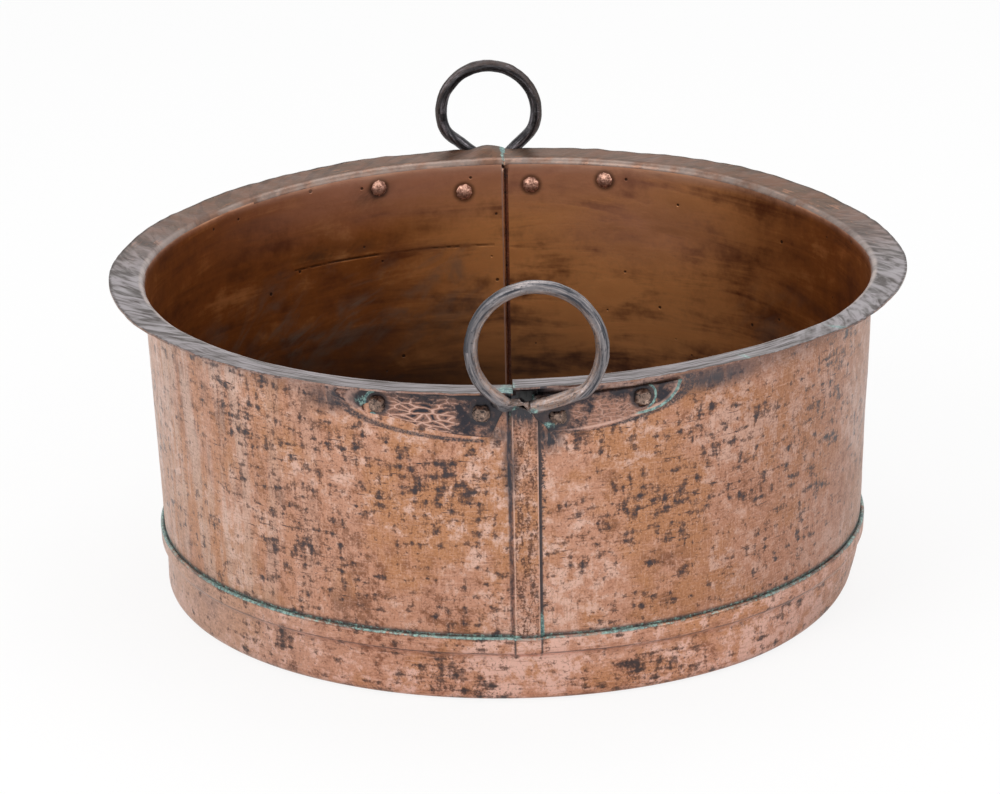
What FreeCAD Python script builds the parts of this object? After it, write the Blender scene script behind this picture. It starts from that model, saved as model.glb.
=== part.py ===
"""Large riveted copper cooking pot with two forged ring handles.

Frame: +Z up, origin at the middle of the flat base, the front handle towards -Y.
Two half sheets make the wall and the out-turned rim. They hook together in a flat lock
seam at each handle, and their lower edge hooks into the upturned edge of the base pan.
Every seam has real layers: wall, returned hook, returned hook, cover.
"""
import FreeCAD, Part
import math
import os

Vec = FreeCAD.Vector

# Overall sizes
pot_height = 268.0
rim_radius = 325.0
wall_foot_inset = 36.7
wall_taper_deg = 2.67
rim_rise_deg = 3.4
rim_bend_radius = 4.0

# Metal
sheet_thickness = 1.5
flap_thickness = 1.0
seam_gap = 0.15

# Base pan and the hooked seam round it
pan_inset = 1.7
pan_thickness = 1.6
pan_corner_radius = 9.0
band_top_height = 56.0
band_height = 11.0
band_knee = 1.0
flare_height = 6.0

# Upright lock seams, one at each handle
seam_bearing_deg = 2.2
seam_width = 19.0
joggle_width = 4.5
joggle_rest = 1.0
tab_margin = 1.5
tab_slope_width = 7.0
hook_window_gap = 0.5

# Ring handles, in millimetres from the rim plane and from the pot's front line
bar_radius = 5.5
bar_flats = 8
rim_to_bar_gap = 1.5
foot_bend_radius = 7.5
foot_landing_drop = 15.5

# Each ring, seen from its own side: its middle's place across, its centre line's radius, and how
# far that circle would dip below the rim plane
front_ring = {"across": 20.4, "radius": 49.4, "dip": 12.7}
back_ring = {"across": 14.4, "radius": 41.8, "dip": 8.8}

# Each leg: the side it is on (-1 left, 1 right), where its foot stands, the bearing in degrees
# at which it leaves the ring, the radius of that bend, and where its foot lands on the leaf
front_left_leg = {"side": -1, "foot_across": -2.0, "foot_drop": 8.5,
                  "leaves_at": 205.0, "bend": 38.0, "landing": -10.0}
front_right_leg = {"side": 1, "foot_across": 18.7, "foot_drop": 9.0,
                   "leaves_at": -38.0, "bend": 15.0, "landing": 28.5}
back_left_leg = {"side": -1, "foot_across": 1.0, "foot_drop": 9.0,
                 "leaves_at": 195.0, "bend": 22.0, "landing": -10.0}
back_right_leg = {"side": 1, "foot_across": 22.0, "foot_drop": 9.0,
                  "leaves_at": -15.0, "bend": 22.0, "landing": 28.5}

# Leaf-shaped plates of the handles
leaf_root_thickness = 4.5
leaf_tip_thickness = 1.6
leaf_tip_bearing_deg = 25.7
leaf_top_drop = 8.5
leaf_heel_dip = 1.0
long_leaf_seam_gap = 0.5
round_leaf_seam_gap = 0.8

# Outline of each leaf as (distance across, drop below the rim plane), seen from its own side
long_leaf_heel_drop = 20.0
long_leaf_belly = (-15.6, 44.5)
long_leaf_middle = (-68.6, 37.0)
long_leaf_tip = (-129.0, 11.0)
long_leaf_tip_across = -126.0
round_leaf_heel_drop = 30.0
round_leaf_belly = (29.0, 41.0)
round_leaf_middle = (68.0, 36.5)
round_leaf_shoulder = (105.0, 28.0)
round_leaf_end = (123.0, 19.5)
round_leaf_end_across = 129.0

# Rivets
rivet_radius = 4.0
rivet_hole_gap = 0.1
rivet_seat_gap = 0.05
inner_head_radius = 7.5
inner_head_crown_radius = 5.0
crown_flat_radius = 2.0
inner_head_edge = 0.8
inner_head_shoulder = 2.6
inner_head_height = 3.6
outer_head_side = 13.0
outer_head_top_side = 9.0
outer_head_edge = 2.0
outer_head_corner = 0.55
outer_head_height = 5.0

# Bearing from the handle's own front line in degrees, and drop below the rim plane
front_rivets = [(-19.8, 20.7), (-4.2, 23.5), (6.9, 28.5), (19.6, 18.9)]
back_rivets = [(-16.9, 17.2), (-4.2, 23.5), (7.2, 28.5), (22.1, 18.0)]

# Flat faces that a mallet leaves round a folded edge, a bend and a rivet's head
hem_flats = 3
bend_flats = 3
head_flats = 8

# The wall's foot stands in from the rim's edge, and the pan stands in from the wall's foot
wall_foot_radius = rim_radius - wall_foot_inset
pan_radius = wall_foot_radius - pan_inset

# Radial layers of a seam, outwards from the wall's outer face
hook_inner = seam_gap
hook_outer = hook_inner + flap_thickness
return_inner = hook_outer + seam_gap
return_outer = return_inner + flap_thickness
cover_inner = return_outer + seam_gap
cover_outer = cover_inner + flap_thickness
tab_flap_inner = cover_outer + seam_gap
tab_flap_outer = tab_flap_inner + flap_thickness
tab_cover_inner = tab_flap_outer + seam_gap
tab_cover_outer = tab_cover_inner + flap_thickness

# Radii of the folds at a seam's edges
wall_fold_radius = (sheet_thickness + return_outer) / 2
cover_fold_radius = (cover_outer - hook_inner) / 2

# How far the leaf's outer face is set forward of the wall, which thins it towards the tips
leaf_shift = (leaf_root_thickness - leaf_tip_thickness) / (1 - math.cos(math.radians(leaf_tip_bearing_deg)))

# Heights of the base seam
wall_edge_height = band_top_height - band_height
knee_height = wall_edge_height - band_knee
flare_foot_height = knee_height - flare_height
band_fold_height = band_top_height - cover_fold_radius
hook_end_height = wall_edge_height + seam_gap

taper = math.radians(wall_taper_deg)
rim_slope = math.radians(rim_rise_deg)
front_ring_plane = rim_radius + rim_to_bar_gap + bar_radius


def wall_outer(height):
    """Radius of the wall's outer face at a height above the base."""
    return wall_foot_radius + (height - band_top_height) * math.tan(taper)


def rim_bend_centre():
    """Radius and height of the centre of the bend between wall and rim."""
    reach = rim_bend_radius + sheet_thickness
    top_r = rim_radius + reach * math.sin(rim_slope)
    top_z = pot_height - reach * math.cos(rim_slope)
    across = (top_r - wall_foot_radius) * math.cos(taper) - (top_z - band_top_height) * math.sin(taper)
    length = (across - rim_bend_radius) / math.cos(rim_slope + taper)
    return top_r - length * math.cos(rim_slope), top_z - length * math.sin(rim_slope)


bend_r, bend_z = rim_bend_centre()
wall_top_height = bend_z + rim_bend_radius * math.sin(taper)
wall_top_radius = wall_outer(wall_top_height)
sheet_run = sheet_thickness / math.cos(taper)


def bearing(across):
    """Angle in degrees of a distance along the wall, taken at the top of the seam."""
    return math.degrees(across / wall_top_radius)


seam_half = bearing(seam_width / 2)
fold_start = bearing(wall_fold_radius - seam_width / 2)
joggle_end = bearing(-seam_width / 2 - joggle_rest)
joggle_start = bearing(-seam_width / 2 - joggle_rest - joggle_width)
tab_full_low = bearing(-seam_width / 2 - joggle_rest - tab_margin)
tab_full_high = bearing(seam_width / 2 + tab_margin)
tab_start = tab_full_low - bearing(tab_slope_width)
tab_end = tab_full_high + bearing(tab_slope_width)
window = bearing(hook_window_gap)


def upright(radius, height):
    """Point of an upright section plane, drawn in the XZ plane."""
    return Vec(radius, 0, height)


def outline(steps):
    """Closed wire from points; a pair (middle, end) draws an arc to its end."""
    edges = []
    here = steps[0]
    for step in steps[1:] + [steps[0]]:
        if isinstance(step, tuple):
            edges.append(Part.Arc(here, step[0], step[1]).toShape())
            here = step[1]
        elif here.distanceToPoint(step) > 1e-6:
            edges.append(Part.LineSegment(here, step).toShape())
            here = step
    return Part.Wire(edges)


def hem(first, last, bulge):
    """Points round a folded edge, between two points on either side of it."""
    middle = (first + last) * 0.5
    arm = first - middle
    points = []
    for step in range(1, hem_flats):
        turn = math.pi * step / hem_flats
        points.append(middle + arm * math.cos(turn) + bulge * (arm.Length * math.sin(turn)))
    return points


def bend(centre, first, last):
    """Points round a bend about its centre, from one arm's end to another's."""
    reach = first.Length
    whole = first.getAngle(last)
    side = (last - first * math.cos(whole)) * (1 / math.sin(whole))
    points = []
    for step in range(bend_flats + 1):
        turn = whole * step / bend_flats
        points.append(centre + first * math.cos(turn) + side * (math.sin(turn) * reach / side.Length))
    return points


def swing(wire, start, end):
    """Solid of an upright section turned between two bearings from the front line."""
    face = Part.Face(wire)
    face.rotate(Vec(0, 0, 0), Vec(0, 0, 1), start - 90)
    return face.revolve(Vec(0, 0, 0), Vec(0, 0, 1), end - start)


def join(solids):
    """One solid from pieces that share faces."""
    whole = solids[0].fuse(solids[1:])
    return whole.removeSplitter()


def rim_section(foot):
    """Section of the rim, its bend and the wall down to a height."""
    outer_bend = rim_bend_radius + sheet_thickness
    centre = upright(bend_r, bend_z)
    to_wall = Vec(-math.cos(taper), 0, math.sin(taper))
    to_rim = Vec(-math.sin(rim_slope), 0, math.cos(rim_slope))
    edge = upright(rim_radius, pot_height)
    under = bend(centre, to_wall * rim_bend_radius, to_rim * rim_bend_radius)
    over = bend(centre, to_rim * outer_bend, to_wall * outer_bend)
    low_out = upright(wall_outer(foot), foot)
    low_in = upright(wall_outer(foot) - sheet_run, foot)
    return outline([low_out] + under + [edge - to_rim * sheet_thickness, edge] + over + [low_in])


def wall_hook_section():
    """Section of the wall's lower edge, folded outwards and up."""
    low = wall_edge_height
    high = band_fold_height - seam_gap
    base_r = wall_outer(low)
    inside = upright(base_r - sheet_run, low)
    outside = upright(base_r + return_outer, low)
    return outline([upright(base_r, low), inside] + hem(inside, outside, Vec(0, 0, -1)) + [
        outside,
        upright(wall_outer(high) + return_outer, high),
        upright(wall_outer(high) + return_inner, high),
        upright(base_r + return_inner, low),
    ])


def pan_section():
    """Half section of the base pan below its flare."""
    middle = upright(pan_radius - pan_corner_radius, pan_corner_radius)
    inner_corner = pan_corner_radius - pan_thickness
    outside = bend(middle, Vec(0, 0, -pan_corner_radius), Vec(pan_corner_radius, 0, 0))
    inside = bend(middle, Vec(inner_corner, 0, 0), Vec(0, 0, -inner_corner))
    edge = [
        upright(pan_radius, flare_foot_height),
        upright(pan_radius - pan_thickness, flare_foot_height),
    ]
    return outline([upright(0, 0)] + outside + edge + inside + [upright(0, pan_thickness)])


def flare_points(inner, outer):
    """Start of a cover section: the flare from the pan's wall out to the cover."""
    return [
        upright(wall_outer(knee_height) + inner, knee_height),
        upright(pan_radius - pan_thickness, flare_foot_height),
        upright(pan_radius, flare_foot_height),
        upright(wall_outer(knee_height) + outer, knee_height),
    ]


def hooked_cover_section(inner, outer, flap_inner, flap_outer):
    """Section of the pan's edge: flare, cover, fold at the top and the flap inside."""
    fold_z = band_top_height - (outer - flap_inner) / 2
    base_r = wall_outer(fold_z)
    low_r = wall_outer(hook_end_height)
    outside = upright(base_r + outer, fold_z)
    inside = upright(base_r + flap_inner, fold_z)
    return outline(flare_points(inner, outer) + [outside] + hem(outside, inside, Vec(0, 0, 1)) + [
        inside,
        upright(low_r + flap_inner, hook_end_height),
        upright(low_r + flap_outer, hook_end_height),
        upright(base_r + flap_outer, fold_z),
        upright(base_r + inner, fold_z),
    ])


def band_section():
    """The pan's edge where it locks over the wall's hook."""
    return hooked_cover_section(cover_inner, cover_outer, hook_inner, hook_outer)


def tab_section():
    """The pan's edge where it stands out over the end of an upright seam."""
    return hooked_cover_section(tab_cover_inner, tab_cover_outer, tab_flap_inner, tab_flap_outer)


def plain_cover_section(inner, outer):
    """Flare and cover without the flap, for the slopes beside a tab."""
    return outline(flare_points(inner, outer) + [
        upright(wall_outer(band_top_height) + outer, band_top_height),
        upright(wall_outer(band_top_height) + inner, band_top_height),
    ])


def slope(section_a, bearing_a, section_b, bearing_b):
    """Solid between two upright sections at two bearings."""
    wires = []
    for section, angle in ((section_a, bearing_a), (section_b, bearing_b)):
        turned = section.copy()
        turned.rotate(Vec(0, 0, 0), Vec(0, 0, 1), angle - 90)
        wires.append(turned)
    return Part.makeLoft(wires, True, True)


def make_base_pan():
    """The base: a raised pan whose edge hooks over the wall, with a tab at each upright seam."""
    pieces = [swing(pan_section(), 0, 360)]
    flat = plain_cover_section(cover_inner, cover_outer)
    raised = plain_cover_section(tab_cover_inner, tab_cover_outer)
    for seam in (seam_bearing_deg, seam_bearing_deg + 180):
        pieces.append(swing(band_section(), seam + tab_end, seam + 180 + tab_start))
        pieces.append(swing(tab_section(), seam + tab_full_low, seam + tab_full_high))
        pieces.append(slope(flat, seam + tab_start, raised, seam + tab_full_low))
        pieces.append(slope(raised, seam + tab_full_high, flat, seam + tab_end))
    return join(pieces)


def seam_point(radius, angle, offset, height):
    """Point by its bearing from the seam's middle and its offset from the wall's outer face."""
    turn = math.radians(seam_bearing_deg + angle - 90)
    return Vec((radius + offset) * math.cos(turn), (radius + offset) * math.sin(turn), height)


def along_seam(angle, side):
    """Unit direction along the wall at a bearing from the seam's middle."""
    turn = math.radians(seam_bearing_deg + angle - 90)
    return Vec(-math.sin(turn) * side, math.cos(turn) * side, 0)


def seam_loft(drawing):
    """Upright solid between the same plan drawing at the wall's lower edge and at its top."""
    wires = []
    for height in (wall_edge_height, wall_top_height):
        wires.append(outline(drawing(height)))
    return Part.makeLoft(wires, True, True)


def hook_drawing(height):
    """Plan of the inner sheet's edge: folded outwards and back over itself."""
    radius = wall_outer(height)
    left = fold_start
    right = bearing(seam_width / 2 - cover_fold_radius - seam_gap)
    slit = left - bearing(seam_gap)

    def at(angle, offset):
        return seam_point(radius, angle, offset, height)
    inside = at(left, -sheet_run)
    outside = at(left, return_outer)
    return [at(left, 0), inside] + hem(inside, outside, along_seam(left, -1)) + [
        outside,
        (at((left + right) / 2, return_outer), at(right, return_outer)),
        at(right, return_inner),
        (at((left + right) / 2, return_inner), at(left, return_inner)),
        at(slit, return_inner),
        at(slit, 0),
    ]


def cover_drawing(height):
    """Plan of the outer sheet's edge: stepped over the hook, folded in at its end."""
    radius = wall_outer(height)
    fold_at = seam_half - bearing(cover_fold_radius)
    slit = fold_at + bearing(seam_gap)
    flap_end = fold_start + bearing(seam_gap)

    def at(angle, offset):
        return seam_point(radius, angle, offset, height)
    outside = at(fold_at, cover_outer)
    inside = at(fold_at, hook_inner)
    return [
        at(joggle_start, -sheet_run),
        at(joggle_start, 0),
        at(joggle_end, cover_outer),
        (at((joggle_end + fold_at) / 2, cover_outer), outside),
    ] + hem(outside, inside, along_seam(fold_at, 1)) + [
        inside,
        (at((flap_end + fold_at) / 2, hook_inner), at(flap_end, hook_inner)),
        at(flap_end, hook_outer),
        (at((flap_end + slit) / 2, hook_outer), at(slit, hook_outer)),
        at(slit, cover_inner),
        (at((joggle_end + slit) / 2, cover_inner), at(joggle_end, cover_inner)),
    ]


def make_wall_sheet():
    """One half of the wall and rim, from the front seam round the +X side to the back seam."""
    front = seam_bearing_deg
    back = seam_bearing_deg + 180
    cover = seam_loft(cover_drawing)
    cover.rotate(Vec(0, 0, 0), Vec(0, 0, 1), 180)
    rim = rim_section(wall_top_height)
    return join([
        swing(rim_section(wall_edge_height), front + fold_start, back + joggle_start),
        swing(rim, front - seam_half, front + fold_start),
        swing(rim, back + joggle_start, back - seam_half - bearing(seam_gap)),
        swing(wall_hook_section(), front + tab_end + window, back + tab_start - window),
        seam_loft(hook_drawing),
        cover,
    ])


def leg_tangent(centre, radius, foot, side):
    """Point where a straight leg from the foot touches a circle; side is -1 left, 1 right."""
    away = foot - centre
    swing_angle = side * math.acos(radius / away.Length)
    unit = away.normalize() * radius
    turned = FreeCAD.Rotation(Vec(0, -1, 0), math.degrees(swing_angle)).multVec(unit)
    return centre + turned


def bend_at(before, corner, after, radius):
    """Start, middle and end of the arc that rounds a corner."""
    back = (before - corner).normalize()
    on = (after - corner).normalize()
    half = back.getAngle(on) / 2
    reach = radius / math.tan(half)
    middle_line = (back + on).normalize()
    centre = corner + middle_line * (radius / math.sin(half))
    return corner + back * reach, centre - middle_line * radius, corner + on * reach


def handle_path(ring, left, right):
    """Centre line of the bar from one leaf's root round the ring to the other."""
    centre = Vec(ring["across"], -front_ring_plane, pot_height + ring["radius"] - ring["dip"])
    edges = []
    ends = []
    for leg in (left, right):
        side = leg["side"]
        foot = Vec(leg["foot_across"], -front_ring_plane, pot_height - leg["foot_drop"])
        turn = math.radians(leg["leaves_at"])
        ring_end = centre + Vec(math.cos(turn), 0, math.sin(turn)) * ring["radius"]
        bend_centre = ring_end + (centre - ring_end).normalize() * leg["bend"]
        touch = leg_tangent(bend_centre, leg["bend"], foot, side)
        mid = ((ring_end - bend_centre).normalize() + (touch - bend_centre).normalize()).normalize()
        landing = wall_point(leg["landing"], foot_landing_drop)
        elbow = bend_at(touch, foot, landing, foot_bend_radius)
        edges.append([
            Part.Arc(ring_end, bend_centre + mid * leg["bend"], touch).toShape(),
            Part.LineSegment(touch, elbow[0]).toShape(),
            Part.Arc(*elbow).toShape(),
            Part.LineSegment(elbow[2], landing).toShape(),
        ])
        ends.append(ring_end)
    top = centre + Vec(0, 0, ring["radius"])
    ring_arc = Part.Arc(ends[0], top, ends[1]).toShape()
    return Part.Wire(list(reversed(edges[0])) + [ring_arc] + edges[1])


def make_bar(path):
    """Hammered round bar along a centre line."""
    start = path.OrderedVertexes[0].Point
    heading = (path.OrderedVertexes[1].Point - start).normalize()
    across = heading.cross(Vec(0, 0, 1)).normalize()
    up = across.cross(heading)
    corners = []
    for step in range(bar_flats):
        turn = 2 * math.pi * (step + 0.5) / bar_flats
        corners.append(start + across * (bar_radius * math.cos(turn)) + up * (bar_radius * math.sin(turn)))
    profile = Part.makePolygon(corners + corners[:1])
    return path.makePipeShell([profile], True, False)


def wall_point(across, drop):
    """Point on the wall's outer face by its sideways place and drop below the rim plane."""
    height = pot_height - drop
    return Vec(across, -math.sqrt(wall_outer(height) ** 2 - across ** 2), height)


def front_point(across, drop):
    """Point of a leaf's outline, seen from the front."""
    return Vec(across, -2 * rim_radius, pot_height - drop)


def wall_cone(offset, forward=0):
    """Solid cone at an offset from the wall's outer face, set forward towards the front."""
    low = band_top_height
    high = pot_height
    cone = Part.makeCone(wall_outer(low) + offset, wall_outer(high) + offset, high - low)
    cone.translate(Vec(0, -forward, low))
    return cone


def leaf_shell():
    """Cone out to the leaf plates' outer face: thick by the seam and thin at the tips."""
    return wall_cone(leaf_root_thickness - leaf_shift, leaf_shift)


def make_leaf(steps):
    """One leaf plate, cut to its outline and lying against the wall."""
    block = Part.Face(outline(steps)).extrude(Vec(0, 2 * rim_radius, 0))
    return block.common(leaf_shell()).cut(wall_cone(seam_gap))


def seam_edge_across(angle):
    """Sideways place of a seam's edge, from the front line."""
    return wall_top_radius * math.sin(math.radians(seam_bearing_deg + angle))


def long_leaf():
    """The pointed leaf on the left of the seam."""
    heel = seam_edge_across(joggle_start) - long_leaf_seam_gap
    return make_leaf([
        front_point(heel, leaf_top_drop + leaf_heel_dip),
        front_point(heel, long_leaf_heel_drop),
        front_point(*long_leaf_belly),
        (front_point(*long_leaf_middle), front_point(*long_leaf_tip)),
        front_point(long_leaf_tip_across, leaf_top_drop),
    ])


def round_leaf():
    """The leaf with a rounded end on the right of the seam."""
    heel = seam_edge_across(seam_half) + round_leaf_seam_gap
    return make_leaf([
        front_point(heel, leaf_top_drop + leaf_heel_dip),
        front_point(heel, round_leaf_heel_drop),
        front_point(*round_leaf_belly),
        (front_point(*round_leaf_middle), front_point(*round_leaf_shoulder)),
        (front_point(*round_leaf_end), front_point(round_leaf_end_across, leaf_top_drop)),
    ])


def make_handle(ring, left, right):
    """A handle forged in one piece: two leaves, two feet and the ring."""
    bar = make_bar(handle_path(ring, left, right))
    bar = bar.cut(wall_cone(seam_gap))
    return join([bar, long_leaf(), round_leaf()])


def rivet_axis(angle, drop):
    """Point on the wall's outer face and the outward direction of a rivet."""
    turn = math.radians(angle - 90)
    height = pot_height - drop
    radius = wall_outer(height)
    point = Vec(radius * math.cos(turn), radius * math.sin(turn), height)
    outward = Vec(math.cos(turn) * math.cos(taper), math.sin(turn) * math.cos(taper), -math.sin(taper))
    return point, outward


def place_along(solid, point, outward, angle):
    """Stand a solid drawn on +Z at a point of the wall, pointing outwards."""
    solid.Placement = FreeCAD.Placement(point, FreeCAD.Rotation(Vec(0, 0, 1), outward))
    solid.rotate(point, outward, angle)
    return solid


def flat_ring(radius, height):
    """Regular polygon round the Z axis at a height."""
    corners = []
    for step in range(head_flats + 1):
        turn = 2 * math.pi * (step % head_flats + 0.5) / head_flats
        corners.append(Vec(radius * math.cos(turn), radius * math.sin(turn), height))
    return corners


def faceted(rings):
    """Solid through rings of points with the same count, closed flat at both ends."""
    faces = [Part.Face(Part.makePolygon(rings[0])), Part.Face(Part.makePolygon(rings[-1]))]
    for low, high in zip(rings, rings[1:]):
        for step in range(len(low) - 1):
            corners = [low[step], low[step + 1], high[step + 1], high[step], low[step]]
            faces.append(Part.Face(Part.makePolygon(corners)))
    return Part.Solid(Part.makeShell(faces))


def inner_head():
    """Low round head, its flat seat on the XY plane, its crown towards -Z."""
    return faceted([
        flat_ring(inner_head_radius, 0),
        flat_ring(inner_head_radius, -inner_head_edge),
        flat_ring(inner_head_crown_radius, -inner_head_shoulder),
        flat_ring(crown_flat_radius, -inner_head_height),
    ])


def shank(radius, length):
    """Rivet shank or its punched hole, from the XY plane up."""
    return faceted([flat_ring(radius, 0), flat_ring(radius, length)])


def blunt_square(side, height):
    """Square with cut corners round the Z axis at a height."""
    half = side / 2
    near = half * outer_head_corner
    corners = [(-near, -half), (near, -half), (half, -near), (half, near),
               (near, half), (-near, half), (-half, near), (-half, -near), (-near, -half)]
    return [Vec(x, y, height) for x, y in corners]


def hammered_head():
    """Squarish hammered head, its flat seat on the XY plane."""
    return faceted([
        blunt_square(outer_head_side, 0),
        blunt_square(outer_head_side, outer_head_edge),
        blunt_square(outer_head_top_side, outer_head_height),
    ])


def leaf_surface(point, outward):
    """Point where a rivet leaves the leaf's outer face, and that face's direction there."""
    line = Part.makeLine(point, point + outward * (2 * leaf_root_thickness))
    seat = point + outward * line.common(leaf_shell()).Length
    facing = Vec(seat.x, seat.y + leaf_shift, 0).normalize() * math.cos(taper)
    return seat, facing + Vec(0, 0, -math.sin(taper))


def make_rivet(angle, drop):
    """One rivet: domed head inside, shank, hammered head on the leaf."""
    point, outward = rivet_axis(angle, drop)
    seat, facing = leaf_surface(point, outward)
    hollow = inner_head_radius ** 2 / (2 * wall_foot_radius)
    inner_seat = point - outward * (sheet_thickness + rivet_seat_gap + hollow)
    head_in = place_along(inner_head(), inner_seat, outward, 0)
    head_out = place_along(hammered_head(), seat + facing * rivet_seat_gap, facing, angle)
    start = inner_seat - outward * (inner_head_height / 2)
    length = seat.distanceToPoint(start) + outer_head_height / 2
    return join([head_in, place_along(shank(rivet_radius, length), start, outward, 0), head_out])


def rivet_hole(angle, drop):
    """Punched hole through leaf and wall for one rivet."""
    point, outward = rivet_axis(angle, drop)
    reach = 4 * leaf_root_thickness
    hole = shank(rivet_radius + rivet_hole_gap, 2 * reach)
    return place_along(hole, point - outward * reach, outward, 0)


def half_turn(solid):
    """The same solid on the other side of the pot."""
    turned = solid.copy()
    turned.rotate(Vec(0, 0, 0), Vec(0, 0, 1), 180)
    return turned


def build():
    """All nodes by name."""
    sheet = make_wall_sheet()
    right_sheet = sheet.copy()
    left_sheet = half_turn(sheet)
    handle_a = make_handle(front_ring, front_left_leg, front_right_leg)
    handle_b = make_handle(back_ring, back_left_leg, back_right_leg)
    front_holes = [rivet_hole(*spot) for spot in front_rivets]
    back_holes = [rivet_hole(*spot) for spot in back_rivets]
    handle_a = handle_a.cut(front_holes)
    handle_b = half_turn(handle_b.cut(back_holes))
    all_holes = front_holes + [half_turn(hole) for hole in back_holes]
    return {
        "wall_sheet_right": right_sheet.cut(all_holes),
        "wall_sheet_left": left_sheet.cut(all_holes),
        "base_pan": make_base_pan(),
        "handle_front": handle_a,
        "handle_back": handle_b,
        "rivets_front": Part.makeCompound([make_rivet(*spot) for spot in front_rivets]),
        "rivets_back": half_turn(Part.makeCompound([make_rivet(*spot) for spot in back_rivets])),
    }


os.makedirs("parts", exist_ok=True)
for name, shape in build().items():
    shape.exportStep("parts/" + name + ".step")
    print(name, len(shape.Solids), "solid(s)", round(shape.Volume), "mm3", "valid", shape.isValid())
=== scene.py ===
"""Looks of the large copper cooking pot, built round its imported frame.

The two wall sheets, the base pan, the ring handles and the rivets are each a class that
holds its sizes and builds and dresses its own mesh. All lengths are in metres.
"""
import logging
import math
from dataclasses import dataclass
from enum import Enum
from typing import Callable, Dict, List, Optional, Sequence, Tuple, Union

import bmesh
import bpy
from mathutils import Matrix, Vector, noise


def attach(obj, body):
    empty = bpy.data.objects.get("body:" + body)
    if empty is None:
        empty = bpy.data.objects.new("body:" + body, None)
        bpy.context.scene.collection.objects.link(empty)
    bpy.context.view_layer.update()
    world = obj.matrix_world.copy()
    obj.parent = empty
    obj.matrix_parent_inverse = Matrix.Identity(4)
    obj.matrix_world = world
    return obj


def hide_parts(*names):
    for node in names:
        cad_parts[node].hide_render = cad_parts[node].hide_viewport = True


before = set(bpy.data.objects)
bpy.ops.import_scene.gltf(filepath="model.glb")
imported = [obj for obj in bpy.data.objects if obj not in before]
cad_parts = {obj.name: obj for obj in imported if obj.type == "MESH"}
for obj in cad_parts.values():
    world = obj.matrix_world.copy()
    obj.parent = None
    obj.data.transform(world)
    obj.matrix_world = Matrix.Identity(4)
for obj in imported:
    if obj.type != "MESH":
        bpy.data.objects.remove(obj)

LOG = logging.getLogger("copper_pot")
UP = Vector((0.0, 0.0, 1.0))
Point2 = Tuple[float, float]
Colour = Tuple[float, float, float, float]
Value = Union["Wire", float]
Finishes = Sequence[bpy.types.Material]
Textures = Dict[str, bpy.types.Texture]
SOCKET_OF_COUNT = {1: "NodeSocketFloat", 3: "NodeSocketVector", 4: "NodeSocketColor"}
SOCKET_OF_TYPE = {"VALUE": "NodeSocketFloat", "VECTOR": "NodeSocketVector", "RGBA": "NodeSocketColor"}


class Face(Enum):
    """Which side of the pot a part of the finish belongs to."""

    FRONT = 0
    BACK = 180


def smooth_step(low: float, high: float, value: float) -> float:
    """Smooth rise from 0 at low to 1 at high.

    Args:
        low: Where the rise starts.
        high: Where the rise ends.
        value: Where it is read.

    Returns:
        A share from 0 to 1.
    """
    share = min(1.0, max(0.0, (value - low) / (high - low)))
    return share * share * (3.0 - 2.0 * share)


def bump_curve(middle: float, half_width: float, value: float) -> float:
    """Smooth hump of height 1 round a middle, 0 past its half width."""
    return 1.0 - smooth_step(0.0, half_width, abs(value - middle))


def bearing_of(place: Vector) -> float:
    """Bearing in radians of a place round the pot: 0 at the front, growing towards +X."""
    return math.atan2(place.x, -place.y)


def turn_between(a: float, b: float) -> float:
    """Smallest angle in radians from one bearing to another."""
    return (a - b + math.pi) % (2 * math.pi) - math.pi


@dataclass(frozen=True)
class PotSizes:
    """Driving sizes of the pot, the same ones that its solids have."""

    height: float = 0.268
    rim_radius: float = 0.325
    wall_foot_radius: float = 0.2883
    taper: float = math.radians(2.67)
    rim_rise: float = math.radians(3.4)
    rim_bend_radius: float = 0.004
    sheet: float = 0.0015
    pan_radius: float = 0.2866
    pan_corner: float = 0.009
    band_top: float = 0.056
    band_height: float = 0.011
    band_knee: float = 0.001
    flare_height: float = 0.006
    cover_offset: float = 0.00345
    fold_radius: float = 0.00165
    seam_bearing: float = math.radians(2.2)
    seam_width: float = 0.019
    joggle_width: float = 0.0045
    joggle_rest: float = 0.001

    def wall_outer(self, height: float) -> float:
        """Radius of the wall's outer face at a height."""
        return self.wall_foot_radius + (height - self.band_top) * math.tan(self.taper)

    def rim_bend_centre(self) -> Point2:
        """Radius and height of the centre of the bend between wall and rim."""
        reach = self.rim_bend_radius + self.sheet
        top_r = self.rim_radius + reach * math.sin(self.rim_rise)
        top_z = self.height - reach * math.cos(self.rim_rise)
        out = (top_r - self.wall_foot_radius) * math.cos(self.taper)
        across = out - (top_z - self.band_top) * math.sin(self.taper)
        length = (across - self.rim_bend_radius) / math.cos(self.rim_rise + self.taper)
        return top_r - length * math.cos(self.rim_rise), top_z - length * math.sin(self.rim_rise)

    def wall_top(self) -> float:
        """Height at which the wall starts to bend out into the rim."""
        return self.rim_bend_centre()[1] + self.rim_bend_radius * math.sin(self.taper)

    def seam_half(self) -> float:
        """Half of a seam's width as an angle in radians."""
        return self.seam_width / 2 / self.wall_outer(self.wall_top())

    def from_seam(self, place: Vector) -> float:
        """Angle in radians from a place to the nearer upright seam."""
        bearing = bearing_of(place)
        seam = self.seam_bearing
        return min(abs(turn_between(bearing, seam)), abs(turn_between(bearing, seam + math.pi)))


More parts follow.
